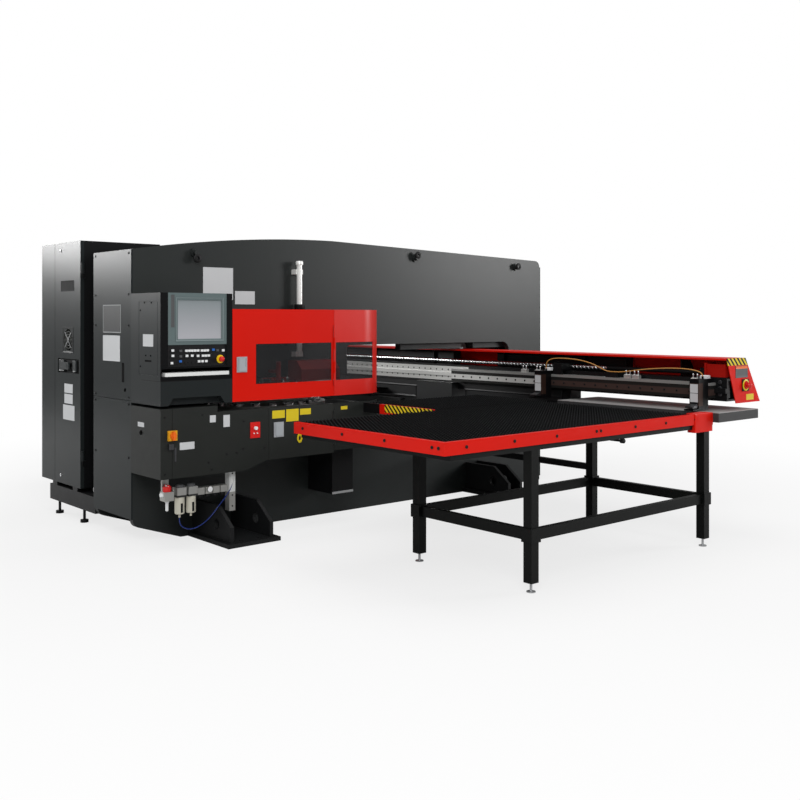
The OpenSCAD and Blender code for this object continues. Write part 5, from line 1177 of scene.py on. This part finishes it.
    def build_fittings(self, shop: Shop) -> None:
        """Add the air fittings: small valves with nipples on the slide bar and a block on each clamp."""
        spots = [(x, *self.valve_at) for x in self.valve_x]
        valve = tablet("bar_valves", (-0.032, -0.016, 0.0), (0.032, 0.016, 0.028), UP, 0.006, -0.004)
        hub = tablet("clamp_manifolds", (-0.034, -0.020, 0.0), (0.030, 0.020, 0.022), UP, 0.006, -0.003)
        nipple = turned("bar_nipples", [(10, 0), (10, 10), (6, 12), (6, 22), (9, 24), (9, 32), (5, 36)], UP,
                        sides=12)
        tips = [(x + dx, y, z + self.nipple_z) for x, y, z in spots for dx in self.nipple_off]
        for master, places, finish in ((valve, spots, SATIN_ALLOY),
                                       (hub, [(x, *self.manifold_at) for x in self.clamp_x], WHITE_PLASTIC),
                                       (nipple, tips, BRIGHT_STEEL)):
            shop.add(scatter(master, places), finish, "bright_steel", "cross_slide")

    def build_thread(self, shop: Shop) -> None:
        """Wind the ball screw's thread round its bar with a Screw modifier."""
        start, end = self.thread_x
        middle, radius = self.thread_r
        thread = circle("screw_thread", 5, radius, (middle, 0.0, 0.0), FRONT.value, filled=False)
        wind = thread.modifiers.new("wind", "SCREW")
        wind.axis = "Z"
        wind.angle = 2.0 * math.pi
        wind.screw_offset = self.thread_lead
        wind.iterations = int((end - start) / self.thread_lead)
        wind.steps = wind.render_steps = self.thread_steps
        wind.use_smooth_shade = True
        bpy.ops.object.modifier_apply(modifier=wind.name)
        edit(thread)
        close()
        thread.rotation_euler = RIGHT.value
        thread.location = (start, *self.screw_at)
        shop.add(settle(thread), BRIGHT_STEEL, "bright_steel", "screw")


@dataclass
class Studio:
    """Camera, soft lamps, white surround and the floor that keeps the shadow."""

    eye: Point = (7.052, -5.458, 1.65)
    turn: float = 49.2226
    lens: float = 44.673
    drop: float = -0.1034
    sensor: float = 36.0
    reach: float = 200.0
    ambient: float = 0.34
    floor_r: float = 60.0
    floor_z: float = -0.001
    floor_grey: float = 0.62
    floor_fade: Pair = (2.5, 7.0)
    floor_glow: float = 0.76
    lamps: tuple[tuple[str, Point, Point, float, float], ...] = (
        ("key_lamp", (8.4, -6.8, 6.5), (0.8, -0.5, 1.0), 5.0, 580.0),
        ("front_lamp", (-8.6, -6.0, 4.1), (-0.6, -2.2, 1.8), 3.0, 560.0),
        ("rear_lamp", (7.8, 9.6, 3.8), (0.5, 1.2, 1.6), 3.2, 620.0),
        ("top_lamp", (1.0, -0.5, 8.5), (1.0, -0.5, 0.0), 6.0, 320.0))

    def camera(self) -> None:
        """Stand the camera at the photograph's viewpoint."""
        data = bpy.data.cameras.new("camera")
        data.lens = self.lens
        data.sensor_width = self.sensor
        data.shift_y = self.drop
        data.clip_end = self.reach
        eye = bpy.data.objects.new("camera", data)
        eye.location = self.eye
        eye.rotation_euler = (QUARTER, 0.0, math.radians(self.turn))
        bpy.context.collection.objects.link(eye)
        bpy.context.scene.camera = eye

    def light(self) -> None:
        """Hang the soft lamps and the white surround."""
        for name, place, aim, size, power in self.lamps:
            data = bpy.data.lights.new(name, "AREA")
            data.size = size
            data.energy = power
            lamp = bpy.data.objects.new(name, data)
            lamp.location = place
            lamp.rotation_euler = (Vector(aim) - Vector(place)).to_track_quat("-Z", "Y").to_euler()
            bpy.context.collection.objects.link(lamp)
        bpy.context.scene.view_settings.view_transform = "Standard"
        world = bpy.data.worlds.new("surround")
        bpy.context.scene.world = world
        world.use_nodes = True
        tree = world.node_tree
        tree.nodes.clear()
        soft, white = (add_node(tree, "ShaderNodeBackground", {"Color": PURE_WHITE, "Strength": strength})
                       for strength in (self.ambient, 1.0))
        mixed = add_node(tree, "ShaderNodeMixShader", {0: self.seen(tree), 1: soft, 2: white})
        add_node(tree, "ShaderNodeOutputWorld", {"Surface": mixed})

    @staticmethod
    def seen(tree: bpy.types.NodeTree) -> Socket:
        """One for rays that show the surround: the camera's and the see-through ones."""
        path = add_node(tree, "ShaderNodeLightPath", {}).node
        return add_node(tree, "ShaderNodeMath", {0: path.outputs["Is Camera Ray"],
                                                 1: path.outputs["Is Transmission Ray"]}, operation="MAXIMUM")

    def floor(self) -> None:
        """Lay the pale floor that keeps the shadow near the machine and fades to white."""
        ground = circle("floor", 64, self.floor_r, (0.0, 0.0, self.floor_z))
        material = bpy.data.materials.new("floor_paint")
        material.use_nodes = True
        tree = material.node_tree
        tree.nodes.clear()
        place = add_node(tree, "ShaderNodeTexCoord", {}, "Object")
        away = add_node(tree, "ShaderNodeVectorMath", {0: place}, "Value", operation="LENGTH")
        near, far = self.floor_fade
        share = add_node(tree, "ShaderNodeMapRange", {"Value": away, "From Min": near, "From Max": far,
                                                      "To Min": self.floor_glow, "To Max": 1.0},
                         interpolation_type="SMOOTHSTEP")
        amount = add_node(tree, "ShaderNodeMath", {0: share, 1: self.seen(tree)}, operation="MULTIPLY")
        grey = self.floor_grey
        matte = add_node(tree, "ShaderNodeBsdfDiffuse", {"Color": (grey, grey, grey, 1.0)})
        white = add_node(tree, "ShaderNodeEmission", {"Color": PURE_WHITE, "Strength": 1.0})
        mixed = add_node(tree, "ShaderNodeMixShader", {0: amount, 1: matte, 2: white})
        add_node(tree, "ShaderNodeOutputMaterial", {"Surface": mixed})
        ground.data.materials.append(material)
        ground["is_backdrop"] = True


CORDS = (
    Cord("drain_hose", "drain_tube", "frame", "tube_blue", HOSE_BLUE, [
        (700, -2044, 232), (700, -2044, 204), (702, -2034, 174), (706, -2008, 152), (710, -1966, 140),
        (714, -1912, 146), (716, -1850, 174), (716, -1790, 220), (712, -1726, 284), (706, -1668, 340),
        (702, -1630, 388), (700, -1612, 430)]),
    Cord("clamp_hose_line", "clamp_hose", "cross_slide", "hose_amber", HOSE_AMBER, [
        (1460, 1010, 1214), (1460, 1010, 1234), (1464, 1010, 1256), (1476, 1012, 1276), (1498, 1016, 1291),
        (1530, 1022, 1300), (1570, 1028, 1304), (1620, 1034, 1305), (1690, 1042, 1303), (1760, 1048, 1298),
        (1830, 1052, 1288), (1900, 1056, 1272), (1960, 1058, 1252), (2010, 1060, 1232), (2050, 1061, 1218),
        (2090, 1062, 1212), (2140, 1062, 1211.5), (2190, 1062, 1213), (2250, 1060, 1219), (2320, 1056, 1229),
        (2400, 1050, 1240), (2480, 1044, 1249), (2560, 1038, 1256), (2640, 1031, 1261), (2720, 1025, 1264),
        (2800, 1019, 1264), (2870, 1014, 1260), (2920, 1011, 1252), (2950, 1010, 1242), (2964, 1010, 1228),
        (2968, 1010, 1214)]),
)


def main() -> None:
    """Build the camera, the cords, every sub-assembly and the studio in order, and work out the two boxes."""
    logging.basicConfig(level=logging.INFO, format="%(name)s: %(message)s")
    shop = Shop()
    studio = Studio()
    studio.camera()
    for cord in CORDS:
        cord.build(shop)
    for part in (MachineFrame(), Console(), Guards(), AirSupply(), Cabinet(), Tables(), Carriage()):
        part.dress(shop)
        part.build(shop)
    studio.light()
    studio.floor()
    boxes = {"cad": [list(map(float, corner)) for corner in shop.cad_box],
             "visual": [list(map(float, corner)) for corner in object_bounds()]}


if __name__ == "__main__":
    main()
